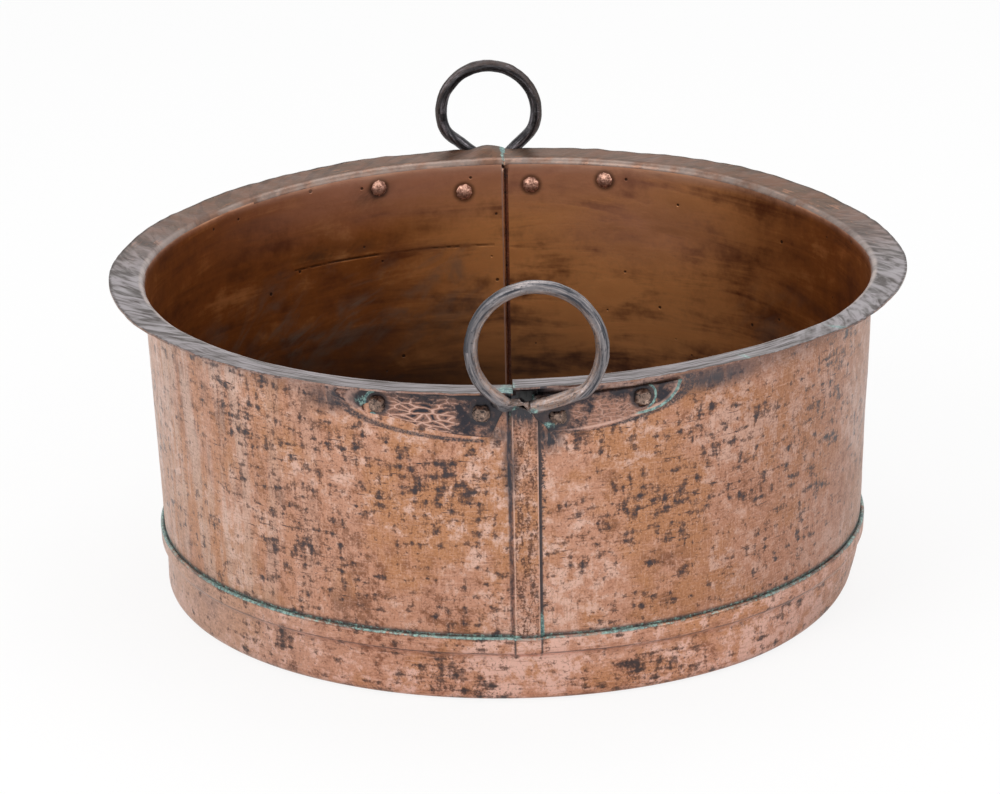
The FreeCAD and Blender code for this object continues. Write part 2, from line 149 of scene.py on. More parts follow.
class Workpiece:
    """One mesh object that is shaped in edit mode and finished with modifiers."""

    def __init__(self, item: bpy.types.Object, name: str) -> None:
        """Take hold of a new primitive.

        Args:
            item: The object that the primitive operator made.
            name: The piece's name.
        """
        item.name = name
        item.data.name = name
        self.item = item

    @staticmethod
    def clear() -> None:
        """Leave edit mode and deselect everything."""
        if bpy.context.object is not None and bpy.context.object.mode != "OBJECT":
            bpy.ops.object.mode_set(mode="OBJECT")
        bpy.ops.object.select_all(action="DESELECT")

    @classmethod
    def grid(cls, name: str, columns: int, rows: int) -> "Workpiece":
        """New grid of one metre by one metre in the XY plane."""
        cls.clear()
        bpy.ops.mesh.primitive_grid_add(x_subdivisions=columns, y_subdivisions=rows, size=1.0)
        return cls(bpy.context.object, name)

    @classmethod
    def disc(cls, name: str, corners: int, radius: float) -> "Workpiece":
        """New flat disc that faces down, in the XY plane."""
        cls.clear()
        bpy.ops.mesh.primitive_circle_add(vertices=corners, radius=radius, fill_type="NGON")
        return cls(bpy.context.object, name)

    @classmethod
    def copy_of(cls, source: bpy.types.Object, name: str) -> "Workpiece":
        """New object with its own copy of a solid's mesh, its doubles merged."""
        cls.clear()
        item = source.copy()
        item.data = source.data.copy()
        item.parent = None
        for key in list(item.keys()):
            del item[key]
        bpy.context.scene.collection.objects.link(item)
        piece = cls(item, name)
        piece.item.data.materials.clear()
        piece.edit()
        bpy.ops.mesh.select_all(action="SELECT")
        bpy.ops.mesh.remove_doubles(threshold=0.00001)
        piece.rest()
        return piece

    def take(self) -> None:
        """Select this object alone and make it the active one."""
        self.clear()
        self.item.select_set(True)
        bpy.context.view_layer.objects.active = self.item

    def edit(self) -> None:
        """Go into edit mode on this mesh alone, by vertices."""
        self.take()
        bpy.ops.object.mode_set(mode="EDIT")
        bpy.ops.mesh.select_mode(type="VERT")

    def rest(self) -> None:
        """Go back to object mode."""
        bpy.ops.object.mode_set(mode="OBJECT")

    def pick(self, test: Callable[[Vector], bool]) -> None:
        """Select the vertices whose places pass a test, and nothing else."""
        bpy.ops.mesh.select_all(action="DESELECT")
        mesh = bmesh.from_edit_mesh(self.item.data)
        for vertex in mesh.verts:
            vertex.select = test(vertex.co)
        mesh.select_flush_mode()
        bmesh.update_edit_mesh(self.item.data)

    def cut(self, point: Vector, normal: Vector) -> None:
        """Add a line of vertices where a plane crosses the mesh."""
        bpy.ops.mesh.select_all(action="SELECT")
        bpy.ops.mesh.bisect(plane_co=point, plane_no=normal)

    def extrude(self, moves: Sequence[Vector]) -> None:
        """Extrude the selected edges along a row of moves."""
        for move in moves:
            bpy.ops.mesh.extrude_region_move(TRANSFORM_OT_translate={"value": tuple(move)})

    def lathe_out(self, points: Sequence[Point2], start: Point2) -> None:
        """Extrude the selected ring through (radius, height) points.

        Args:
            points: The rings in order.
            start: Radius and height of the ring that is selected.
        """
        radius, height = start
        for next_radius, next_height in points:
            bpy.ops.mesh.extrude_region_move(
                TRANSFORM_OT_translate={"value": (0.0, 0.0, next_height - height)})
            share = next_radius / radius
            bpy.ops.transform.resize(value=(share, share, 1.0), center_override=(0.0, 0.0, next_height))
            radius, height = next_radius, next_height

    def place(self, location: Vector, turn: Vector, scale: Vector) -> None:
        """Turn, scale and move the mesh, and leave its object at the origin."""
        self.take()
        self.item.location = location
        self.item.rotation_euler = turn
        self.item.scale = scale
        bpy.ops.object.transform_apply(location=True, rotation=True, scale=True)

    def modify(self, kind: str, **settings: object) -> None:
        """Add a modifier, set it and apply it.

        Args:
            kind: The modifier's type.
            settings: Its properties by name.
        """
        self.take()
        modifier = self.item.modifiers.new(kind.lower(), kind)
        for key, value in settings.items():
            setattr(modifier, key, value)
        bpy.ops.object.modifier_apply(modifier=modifier.name)

    def weigh(self, name: str, share: Callable[[Vector], float]) -> None:
        """Make a vertex group whose weights come from each vertex's place."""
        group = self.item.vertex_groups.new(name=name)
        for vertex in self.item.data.vertices:
            group.add([vertex.index], share(vertex.co), "REPLACE")

    def hammer(self, texture: bpy.types.Texture, strength: float, group: str = "") -> None:
        """Push the surface in and out by a cloud or cell texture."""
        self.modify("DISPLACE", texture=texture, texture_coords="LOCAL", direction="NORMAL",
                    mid_level=0.5, strength=strength, vertex_group=group)

    def nudge(self, move: Callable[[Vector], Vector]) -> None:
        """Move each vertex by a smooth function of its place."""
        for vertex in self.item.data.vertices:
            vertex.co = vertex.co + move(vertex.co)
        self.item.data.update()

    def forge(self, grain: float, smoothing: int) -> None:
        """Rebuild the mesh from even cells of a given size, and soften its edges."""
        self.modify("REMESH", mode="VOXEL", voxel_size=grain, use_smooth_shade=True)
        self.modify("SMOOTH", factor=0.5, iterations=smoothing)

    def planish(self, textures: Textures, dent_depth: float, planish_depth: float,
                share: Callable[[Vector], float]) -> None:
        """Dent and planish a sheet, as freely as its places allow."""
        self.weigh("free", share)
        self.hammer(textures["dents"], dent_depth, "free")
        self.hammer(textures["planishing"], planish_depth, "free")

    def shade(self, angle_deg: float) -> None:
        """Smooth shading, with edges sharper than an angle left sharp."""
        self.take()
        bpy.ops.object.shade_smooth_by_angle(angle=math.radians(angle_deg))

    def face_out(self) -> None:
        """Merge doubles and point the faces outwards."""
        self.edit()
        bpy.ops.mesh.select_all(action="SELECT")
        bpy.ops.mesh.remove_doubles(threshold=0.000005)
        bpy.ops.mesh.normals_make_consistent(inside=False)
        self.rest()

    def finish(self, finishes: Finishes, slot: str, node: str) -> None:
        """Dress the piece and tie it to the frame.

        Args:
            finishes: Its finishes, the main one first.
            slot: Name of a material slot; not used.
            node: The node of the solid that it stands for.
        """
        self.item.data.materials.clear()
        for material in finishes:
            self.item.data.materials.append(material)
        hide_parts(node)
        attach(self.item, "root")
        LOG.info("%s: %d faces, stands for %s", self.item.name, len(self.item.data.polygons), node)


def new_texture(name: str, kind: str, **settings: object) -> bpy.types.Texture:
    """Texture for the unevenness of a surface, or for the dishes that a hammer leaves."""
    texture = bpy.data.textures.new(name, kind)
    for key, value in settings.items():
        setattr(texture, key, value)
    return texture


@dataclass
class WallSheet:
    """One half of the wall and rim: a flat sheet, folded at its edges and rolled into a half round."""

    sizes: PotSizes
    name: str
    node: str
    side: Face
    columns: int = 288
    rows: int = 64
    foot: float = 0.0455
    bend_steps: int = 4
    rim_steps: int = 9
    fold_steps: int = 6
    tuck: float = 0.0035
    hook_width: float = 0.0019
    rim_gap: float = 0.00015
    hair: float = 0.00005
    dent_depth: float = 0.0016
    planish_depth: float = 0.00022
    front_rise: float = 0.0042
    right_sag: float = 0.0054
    left_sag: float = 0.0020
    back_rise: float = 0.0013
    back_buckle: float = 0.0034

    def roll_radius(self) -> float:
        """Radius to which the sheet's middle height is rolled."""
        return self.sizes.wall_outer((self.foot + self.sizes.wall_top()) / 2)

    def flat(self, bearing: float) -> float:
        """Place along the flat sheet of a bearing from the sheet's middle."""
        return bearing * self.roll_radius()

    def rim_moves(self) -> List[Vector]:
        """Moves that take the wall's top edge round the bend and out to the rim's edge."""
        sizes = self.sizes
        centre_r, centre_z = sizes.rim_bend_centre()
        arm = sizes.rim_bend_radius
        start = math.pi - sizes.taper
        end = math.pi / 2 + sizes.rim_rise
        points = []
        for step in range(self.bend_steps + 1):
            turn = start + (end - start) * step / self.bend_steps
            points.append((centre_r + arm * math.cos(turn), centre_z + arm * math.sin(turn)))
        last = points[-1]
        edge = (sizes.rim_radius + sizes.sheet * math.sin(sizes.rim_rise),
                sizes.height - sizes.sheet * math.cos(sizes.rim_rise))
        for step in range(1, self.rim_steps + 1):
            share = step / self.rim_steps
            points.append((last[0] + (edge[0] - last[0]) * share, last[1] + (edge[1] - last[1]) * share))
        moves = []
        for here, there in zip(points, points[1:]):
            moves.append(Vector((0.0, here[0] - there[0], there[1] - here[1])))
        return moves

    def tuck_moves(self, along: Vector) -> List[Vector]:
        """Moves that fold an edge out and back over the sheet's outer face."""
        out = Vector((0.0, -1.0, 0.0))
        return [along * 0.0003 + out * 0.00012, along * 0.00012 + out * 0.0003,
                along * -0.00012 + out * 0.0003, along * -0.0003 + out * 0.00012,
                along * -self.tuck]

    def cover_moves(self) -> List[Vector]:
        """Moves that fold the cover's edge in over the hook."""
        arm = self.sizes.fold_radius
        places = []
        for step in range(self.fold_steps + 1):
            turn = math.pi * step / self.fold_steps
            places.append(Vector((arm * math.sin(turn), arm * (1.0 - math.cos(turn)), 0.0)))
        moves = [there - here for here, there in zip(places, places[1:])]
        moves.append(Vector((-self.tuck, 0.0, 0.0)))
        return moves

    def shape_flat(self) -> Workpiece:
        """Model the sheet flat: X along it, -Y outwards, Z up."""
        sizes = self.sizes
        half_turn = math.pi / 2
        seam_half = sizes.seam_half()
        top = sizes.wall_top()
        per_width = self.roll_radius() / sizes.wall_outer(top)
        start = self.flat(-half_turn - seam_half)
        end = self.flat(half_turn + seam_half)
        hook = start + self.hook_width * per_width
        fold = end - sizes.fold_radius * per_width
        joggle = sizes.seam_width / 2 + sizes.joggle_rest + sizes.joggle_width
        rise_start = self.flat(half_turn) - joggle * per_width
        rise_end = rise_start + sizes.joggle_width * per_width
        rim_end = self.flat(half_turn - seam_half) - self.rim_gap
        piece = Workpiece.grid(self.name, self.columns, self.rows)
        middle = (self.foot + top) / 2
        slant = (top - self.foot) / math.cos(sizes.taper)
        piece.place(Vector(((start + end) / 2, 0.0, middle)), Vector((math.pi / 2 + sizes.taper, 0.0, 0.0)),
                    Vector((end - start, slant, 1.0)))
        piece.edit()
        for place in (hook, rise_start, rise_end, rim_end, fold):
            piece.cut(Vector((place, 0.0, 0.0)), Vector((1.0, 0.0, 0.0)))
        hair = self.hair
        piece.pick(lambda co: co.z > top - hair and co.x < rim_end + hair)
        piece.extrude(self.rim_moves())
        piece.pick(lambda co: co.z < top - hair and co.x < hook - hair)
        bpy.ops.mesh.delete(type="VERT")
        piece.pick(lambda co: co.z < top + hair and co.x > fold + hair)
        bpy.ops.mesh.delete(type="VERT")
        piece.pick(lambda co: co.x > rise_end - hair and (co.z < top - hair or co.x > rim_end + hair))
        bpy.ops.transform.translate(value=(0.0, -sizes.cover_offset, 0.0))
        piece.pick(lambda co: co.z < top - hair and abs(co.x - hook) < hair)
        piece.extrude(self.tuck_moves(Vector((-1.0, 0.0, 0.0))))
        piece.pick(lambda co: abs(co.x - fold) < hair)
        piece.extrude(self.cover_moves())
        piece.pick(lambda co: co.z < self.foot + hair and hook + hair < co.x < rise_start)
        piece.extrude(self.tuck_moves(Vector((0.0, 0.0, -1.0))))
        piece.rest()
        return piece

    def roll(self, piece: Workpiece) -> None:
        """Roll the flat sheet into its half round and turn it to its side of the pot."""
        along = [vertex.co.x for vertex in piece.item.data.vertices]
        angle = (max(along) - min(along)) / self.roll_radius()
        piece.modify("SIMPLE_DEFORM", deform_method="BEND", deform_axis="Z", angle=angle)
        bearing = math.pi / 2 + self.sizes.seam_bearing + math.radians(self.side.value)
        centre = Vector((0.0, -self.roll_radius(), 0.0))
        turned = Matrix.Rotation(bearing, 3, "Z") @ centre
        piece.place(turned, Vector((0.0, 0.0, bearing)), Vector((1.0, 1.0, 1.0)))

    def free_share(self, place: Vector) -> float:
        """How freely the sheet may be dented: less under the handles' leaves and at the seams."""
        from_seam = math.degrees(self.sizes.from_seam(place))
        near_leaf = (1.0 - smooth_step(27.0, 34.0, from_seam)) * smooth_step(0.205, 0.222, place.z)
        near_seam = 1.0 - smooth_step(2.5, 6.0, from_seam)
        near_band = 1.0 - smooth_step(self.sizes.band_top, 0.075, place.z)
        return 1.0 - max(near_leaf * 0.93, near_seam * 0.8, near_band * 0.9)

    def rim_lift(self, place: Vector) -> Vector:
        """How far the rim is out of true: tilted, pulled up at the front right, buckled at the back."""
        radius = math.hypot(place.x, place.y)
        share = smooth_step(0.10, 0.262, place.z)
        bearing = math.degrees(bearing_of(place))
        flange = smooth_step(0.296, 0.318, radius)
        lift = place.x * 0.0056
        if self.side is Face.FRONT:
            risen = smooth_step(-4.0, 0.0, bearing) * (1.0 - smooth_step(33.0, 66.0, bearing))
            lift += self.front_rise * risen
            lift -= self.right_sag * bump_curve(108.0, 42.0, bearing)
        else:
            lift += self.back_buckle * flange * bump_curve(-177.2, 3.4, bearing)
            lift -= self.left_sag * bump_curve(-118.0, 40.0, bearing)
        lift += self.back_rise * smooth_step(0.14, 0.29, place.y)
        lift += 0.0012 * flange * noise.noise(Vector((bearing * 0.11, 3.7, 0.0)))
        lift += 0.0007 * flange * noise.noise(Vector((bearing * 0.45, 8.1, 0.0)))
        return UP * (lift * share)

    def dress(self, piece: Workpiece) -> None:
        """Give the inner face and the rim their own finishes."""
        top = self.sizes.wall_top()
        for face in piece.item.data.polygons:
            centre = face.center
            radius = math.hypot(centre.x, centre.y)
            outward = (centre.x * face.normal.x + centre.y * face.normal.y) / radius
            within = radius < self.sizes.wall_outer(centre.z) + 0.0002
            if centre.z > top - 0.001 and face.normal.z > 0.2:
                face.material_index = 2
            elif outward < 0.0 and centre.z < top + 0.004 and within:
                face.material_index = 1

    def build(self, finishes: Finishes, textures: Textures) -> None:
        """Build and dress the sheet.

        Args:
            finishes: The outside's, the inside's and the rim's finish.
            textures: The textures that dent and planish it.
        """
        piece = self.shape_flat()
        self.roll(piece)
        piece.planish(textures, self.dent_depth, self.planish_depth, self.free_share)
        piece.nudge(self.rim_lift)
        piece.modify("SOLIDIFY", thickness=self.sizes.sheet, offset=-1.0, use_even_offset=False)
        piece.modify("BEVEL", width=0.00035, segments=1, limit_method="ANGLE", angle_limit=math.radians(60.0))
        piece.shade(40.0)
        piece.finish(finishes, "sheet_copper", self.node)
        self.dress(piece)


@dataclass
class BasePan:
    """The raised base pan: a dished sheet whose edge is folded over the wall's hooked foot."""

    sizes: PotSizes
    name: str = "base"
    node: str = "base_pan"
    corners: int = 540
    floor_rings: int = 12
    wall_rings: int = 9
    tab_half_width: float = 0.0100
    tab_slope: float = 0.004
    tab_stand: float = 0.0026
    knock_depth: float = 0.0065
    dent_depth: float = 0.0011
    planish_depth: float = 0.00022
    corner_steps: int = 6
    flare_steps: int = 3
    band_steps: int = 4
    flare_bulge: float = 0.0004
    tuck: float = 0.003

    def profile(self) -> List[Point2]:
        """Outer face of the pan as (radius, height) points, from the middle of the floor."""
        sizes = self.sizes
        corner = sizes.pan_corner
        fold = sizes.fold_radius
        middle_r = sizes.pan_radius - corner
        points = [(middle_r * (ring + 1) / self.floor_rings, 0.0) for ring in range(self.floor_rings)]
        for step in range(1, self.corner_steps + 1):
            turn = math.pi / 2 * step / self.corner_steps
            points.append((middle_r + corner * math.sin(turn), corner * (1 - math.cos(turn))))
        edge = sizes.band_top - sizes.band_height
        knee = edge - sizes.band_knee
        flare_foot = knee - sizes.flare_height
        for ring in range(1, self.wall_rings + 1):
            height = corner + (flare_foot - corner) * ring / self.wall_rings
            points.append((sizes.pan_radius, height))
        cover = sizes.wall_outer(knee) + sizes.cover_offset
        for step in range(1, self.flare_steps + 1):
            share = step / self.flare_steps
            bulge = self.flare_bulge * math.sin(math.pi * share)
            points.append((sizes.pan_radius + (cover - sizes.pan_radius) * share + bulge,
                           flare_foot + sizes.flare_height * share))
        fold_z = sizes.band_top - fold
        for step in range(1, self.band_steps + 1):
            height = knee + (fold_z - knee) * step / self.band_steps
            points.append((sizes.wall_outer(height) + sizes.cover_offset, height))
        fold_r = sizes.wall_outer(fold_z) + sizes.cover_offset - fold
        for step in range(1, self.corner_steps + 1):
            turn = math.pi * step / self.corner_steps
            points.append((fold_r + fold * math.cos(turn), fold_z + fold * math.sin(turn)))
        points.append((fold_r - fold, fold_z - self.tuck))
        return points

    def tab_lift(self, place: Vector) -> Vector:
        """How far the pan's edge stands out over the foot of each upright seam."""
        outwards = Vector((place.x, place.y, 0.0))
        if outwards.length < 0.9 * self.sizes.pan_radius:
            return Vector()
        away = self.sizes.from_seam(place) * outwards.length
        across = 1.0 - smooth_step(self.tab_half_width, self.tab_half_width + self.tab_slope, away)
        knee = self.sizes.band_top - self.sizes.band_height - self.sizes.band_knee
        up = smooth_step(knee - self.sizes.flare_height, knee, place.z)
        return outwards.normalized() * (self.tab_stand * across * up)

    def free_share(self, place: Vector) -> float:
        """How freely the pan may be dented: little at its floor and its folded edge."""
        radius = math.hypot(place.x, place.y)
        if radius < self.sizes.pan_radius - self.sizes.pan_corner - 0.004:
            return 0.0
        return smooth_step(0.0, 0.010, place.z) * (1.0 - 0.75 * smooth_step(0.034, 0.040, place.z))

    def knock(self, place: Vector) -> Vector:
        """How far the pan's right side is knocked in towards its foot."""
        share = smooth_step(0.17, 0.285, place.x) * (1.0 - smooth_step(0.0, 0.034, place.z))
        return Vector((-self.knock_depth * share, 0.0, 0.0))

    def dress(self, piece: Workpiece) -> None:
        """Give the pan's inside its own finish."""
        for face in piece.item.data.polygons:
            centre = face.center
            radius = max(math.hypot(centre.x, centre.y), 0.001)
            outward = (centre.x * face.normal.x + centre.y * face.normal.y) / radius
            if centre.z < self.sizes.band_top - 0.003 and (face.normal.z > 0.4 or outward < -0.4):
                face.material_index = 1

    def build(self, finishes: Finishes, textures: Textures) -> None:
        """Build and dress the pan.

        Args:
            finishes: The outside's and the inside's finish.
            textures: The textures that dent and planish it.
        """
        points = self.profile()
        piece = Workpiece.disc(self.name, self.corners, points[0][0])
        piece.edit()
        piece.pick(lambda co: True)
        bpy.ops.mesh.flip_normals()
        bpy.ops.mesh.select_all(action="SELECT")
        bpy.ops.mesh.inset(thickness=points[0][0] * 0.9)
        piece.pick(lambda co: math.hypot(co.x, co.y) > points[0][0] * 0.99)
        piece.lathe_out(points[1:], points[0])
        piece.rest()
        piece.face_out()
        piece.planish(textures, self.dent_depth, self.planish_depth, self.free_share)
        piece.nudge(self.tab_lift)
        piece.nudge(self.knock)
        piece.modify("SOLIDIFY", thickness=self.sizes.sheet, offset=-1.0, use_even_offset=False)
        piece.shade(45.0)
        piece.finish(finishes, "base_copper", self.node)
        self.dress(piece)


@dataclass(frozen=True)
class BluntEnd:
    """The chopped end of a ring's leg: where its foot stands, its heading, and how far it runs on."""

    foot: Tuple[float, float, float]
    heading: Tuple[float, float, float]
    longer: float
    limit: float

    def move(self, place: Vector) -> Vector:
        """Move of a point of the bar so that the leg runs on to a blunt end."""
        heading = Vector(self.heading).normalized()
        offset = place - Vector(self.foot)
        along = offset.dot(heading)
        aside = (offset - heading * along).length
        share = smooth_step(-0.011, 0.001, along) * (1.0 - smooth_step(0.0075, 0.010, aside))
        share *= smooth_step(0.0080, 0.0040, -abs(offset.y)) if offset.y > 0.0 else 1.0
        if share <= 0.0:
            return Vector()
        wanted = along + self.longer * share
        if wanted > self.limit:
            wanted = self.limit + (wanted - self.limit) * 0.12
        return heading * (wanted - along)


@dataclass
class RingHandle:
    """A forged ring handle with its two leaf plates."""

    name: str
    node: str
    ends: Sequence[BluntEnd] = ()
    grain: float = 0.0009
    smoothing: int = 6
    forge_depth: float = 0.0009

    def reshape(self, place: Vector) -> Vector:
        """Move of a point of the handle: blunt leg ends and the round leaf's fuller corner."""
        move = Vector()
        for end in self.ends:
            move += end.move(place)
        if self.ends:
            corner = (1.0 - smooth_step(0.024, 0.050, place.x)) * smooth_step(0.010, 0.017, place.x)
            low = smooth_step(0.232, 0.243, place.z) * (1.0 - smooth_step(0.262, 0.268, place.z))
            leaf = 1.0 - smooth_step(0.3045, 0.3095, math.hypot(place.x, place.y))
            move.x -= 0.0050 * corner * low * leaf
            below = leaf * (1.0 - smooth_step(0.2540, 0.2630, place.z))
            tip = smooth_step(0.082, 0.108, -place.x)
            move += Vector((-0.0085 * tip, 0.0038 * tip, -0.0058 * tip)) * below
            move.x += 0.0035 * smooth_step(0.095, 0.115, place.x) * leaf
            fuller = smooth_step(0.035, 0.062, place.x) * (1.0 - 0.4 * smooth_step(0.108, 0.124, place.x))
            move += Vector((0.0, 0.00025, -0.0046)) * (below * fuller)
        return move

    def build(self, material: bpy.types.Material, textures: Textures) -> None:
        """Build the handle from its solid: soften its edges and hammer its faces.

        Args:
            material: Its finish.
            textures: The textures that hammer it.
        """
        piece = Workpiece.copy_of(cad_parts[self.node], self.name)
        piece.forge(self.grain, self.smoothing)
        piece.nudge(self.reshape)
        piece.hammer(textures["forging"], self.forge_depth)
        piece.shade(180.0)
        piece.finish([material], "forged_handle", self.node)


@dataclass
class RivetRow:
    """The four rivets of one handle, each with a domed head inside and a hammered one outside."""

    name: str
    node: str
    flush_at: Optional[Point2] = None
    wall_foot: Point2 = (0.2883, 0.056)
    wall_slope: float = 0.0466
    plate_stand: float = 0.0045
    head_reach: float = 0.012
    grain: float = 0.0006
    smoothing: int = 6
    forge_depth: float = 0.0016

    def flush(self, place: Vector) -> Vector:
        """Move of a point of the rivet that is hammered nearly flush beside the ring's leg."""
        if self.flush_at is None:
            return Vector()
        bearing, height = self.flush_at
        outward = Vector((math.sin(bearing), -math.cos(bearing), 0.0))
        wall = self.wall_foot[0] + (height - self.wall_foot[1]) * self.wall_slope
        seat = outward * (wall + self.plate_stand) + UP * height
        offset = place - seat
        up = offset.dot(outward)
        aside = offset - outward * up
        if aside.length > self.head_reach or up < 0.0:
            return Vector()
        return aside * -0.45 - outward * (up * 0.66)

    def outside_share(self, place: Vector) -> float:
        """1 at the heads outside the wall and 0 at the domes inside it."""
        return smooth_step(0.2950, 0.2975, math.hypot(place.x, place.y))

    def build(self, material: bpy.types.Material, textures: Textures) -> None:
        """Build the rivets from their solids, with softened and hammered heads.

        Args:
            material: Their finish.
            textures: The textures that hammer them.
        """
        piece = Workpiece.copy_of(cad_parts[self.node], self.name)
        piece.forge(self.grain, self.smoothing)
        piece.weigh("outside", self.outside_share)
        piece.hammer(textures["heads"], self.forge_depth, "outside")
        piece.nudge(self.flush)
        piece.shade(180.0)
        piece.finish([material], "rivet_copper", self.node)


def tone(red: int, green: int, blue: int) -> Colour:
    """Linear colour of a tone written as it looks on a screen, 0 to 255."""
    channels = []
    for value in (red, green, blue):
        share = value / 255.0
        channels.append(share / 12.92 if share <= 0.04045 else ((share + 0.055) / 1.055) ** 2.4)
    return channels[0], channels[1], channels[2], 1.0


class Wire:
    """A value in a node tree, which adds, subtracts and multiplies like a number."""

    def __init__(self, recipe: "Recipe", socket: bpy.types.NodeSocket) -> None:
        """Take hold of a node's output."""
        self.recipe = recipe
        self.socket = socket

    def __add__(self, other: Value) -> "Wire":
        """This and another value together."""
        return self.recipe.math("ADD", self, other)

    def __sub__(self, other: Value) -> "Wire":
        """This value less another."""
        return self.recipe.math("SUBTRACT", self, other)

    def __mul__(self, other: Value) -> "Wire":
        """This value times another."""
        return self.recipe.math("MULTIPLY", self, other)

    def ramp(self, low: float, high: float, start: float = 0.0, end: float = 1.0) -> "Wire":
        """Smooth rise from start to end while this goes from low to high."""
        feeds = {0: self, 1: low, 2: high, 3: start, 4: end}
        return self.recipe.add("ShaderNodeMapRange", feeds, interpolation_type="SMOOTHSTEP")[0]

    def band(self, low: float, high: float, soft: float) -> "Wire":
        """1 while this is between two values, with soft ends."""
        return self.ramp(low - soft, low + soft) * self.ramp(high + soft, high - soft)


class Made:
    """A node that is in place, whose outputs are read by number or name."""

    def __init__(self, recipe: "Recipe", node: bpy.types.Node) -> None:
        """Take hold of a node."""
        self.recipe = recipe
        self.node = node

    def __getitem__(self, key: Union[int, str]) -> Wire:
        """One of its outputs."""
        return Wire(self.recipe, self.node.outputs[key])


class Recipe:
    """A node tree that is written line by line."""

    def __init__(self, tree: bpy.types.NodeTree) -> None:
        """Take hold of a material's or a group's tree."""
        self.tree = tree

    def feed(self, socket: bpy.types.NodeSocket, value: object) -> None:
        """Link a wire to an input, or set a constant there."""
        if isinstance(value, Wire):
            self.tree.links.new(value.socket, socket)
        else:
            socket.default_value = value

    def add(self, kind: str, feeds: Dict[Union[int, str], object], **settings: object) -> Made:
        """Add a node.

        Args:
            kind: Its type.
            feeds: What goes into its inputs, by number or name.
            settings: Its properties by name.

        Returns:
            The node.
        """
        node = self.tree.nodes.new(kind)
        for key, value in settings.items():
            setattr(node, key, value)
        for key, value in feeds.items():
            self.feed(node.inputs[key], value)
        return Made(self, node)

    def math(self, operation: str, *values: Value, clamp: bool = False) -> Wire:
        """Result of a sum on one or two values."""
        feeds = dict(enumerate(values))
        return self.add("ShaderNodeMath", feeds, operation=operation, use_clamp=clamp)[0]

    def most(self, *values: Wire) -> Wire:
        """Highest of several values."""
        highest = values[0]
        for value in values[1:]:
            highest = self.math("MAXIMUM", highest, value)
        return highest

    def rest_of(self, whole: float, part: Wire) -> Wire:
        """What a part leaves of a whole, 0 at the least."""
        return self.math("SUBTRACT", whole, part, clamp=True)

    def vector(self, operation: str, *values: object) -> Wire:
        """Result of a sum on vectors."""
        made = self.add("ShaderNodeVectorMath", dict(enumerate(values)), operation=operation)
        return made["Value" if operation == "LENGTH" else "Vector"]

    def mapped(self, vector: Wire, scale: Sequence[float], turn: float = 0.0) -> Wire:
        """A vector scaled, then turned about Z."""
        feeds = {"Vector": vector, "Scale": scale, "Rotation": (0.0, 0.0, turn)}
        return self.add("ShaderNodeMapping", feeds)[0]

    def combine(self, x: Value, y: Value, z: Value = 0.0) -> Wire:
        """Vector from three values."""
        return self.add("ShaderNodeCombineXYZ", {0: x, 1: y, 2: z})[0]

    def parts(self, vector: Wire) -> Made:
        """A vector's three values."""
        return self.add("ShaderNodeSeparateXYZ", {0: vector})

    def noise(self, vector: Wire, scale: float, detail: float = 3.0, rough: float = 0.55, twist: float = 0.0
              ) -> Wire:
        """Noise value from 0 to 1."""
        return self.add("ShaderNodeTexNoise", {"Vector": vector, "Scale": scale, "Detail": detail,
                                               "Roughness": rough, "Distortion": twist})["Fac"]

    def mix(self, share: Value, first: object, second: object) -> Wire:
        """Blend of two colours."""
        return self.add("ShaderNodeMix", {0: share, 6: first, 7: second}, data_type="RGBA")[2]

    def group(self, tree: bpy.types.NodeTree, **inputs: object) -> Made:
        """A node group, with its inputs fed by name."""
        return self.add("ShaderNodeGroup", inputs, node_tree=tree)


def new_group(name: str, inputs: Dict[str, object], write: Callable[[Recipe, Made], Dict[str, Wire]]
              ) -> bpy.types.NodeTree:
    """Make a shader node group with named sockets.

    Args:
        name: The group's name.
        inputs: Each input's default: a number, three numbers for a vector, or four for a colour.
        write: Writes the nodes from the inputs, and gives the outputs by name.

    Returns:
        The group's tree.
    """
    tree = bpy.data.node_groups.new(name, "ShaderNodeTree")
    for label, default in inputs.items():
        count = 1 if isinstance(default, float) else len(default)
        socket = tree.interface.new_socket(label, in_out="INPUT", socket_type=SOCKET_OF_COUNT[count])
        socket.default_value = default
    recipe = Recipe(tree)
    outputs = write(recipe, recipe.add("NodeGroupInput", {}))
    for label, wire in outputs.items():
        tree.interface.new_socket(label, in_out="OUTPUT", socket_type=SOCKET_OF_TYPE[wire.socket.type])
    recipe.add("NodeGroupOutput", outputs)
    return tree


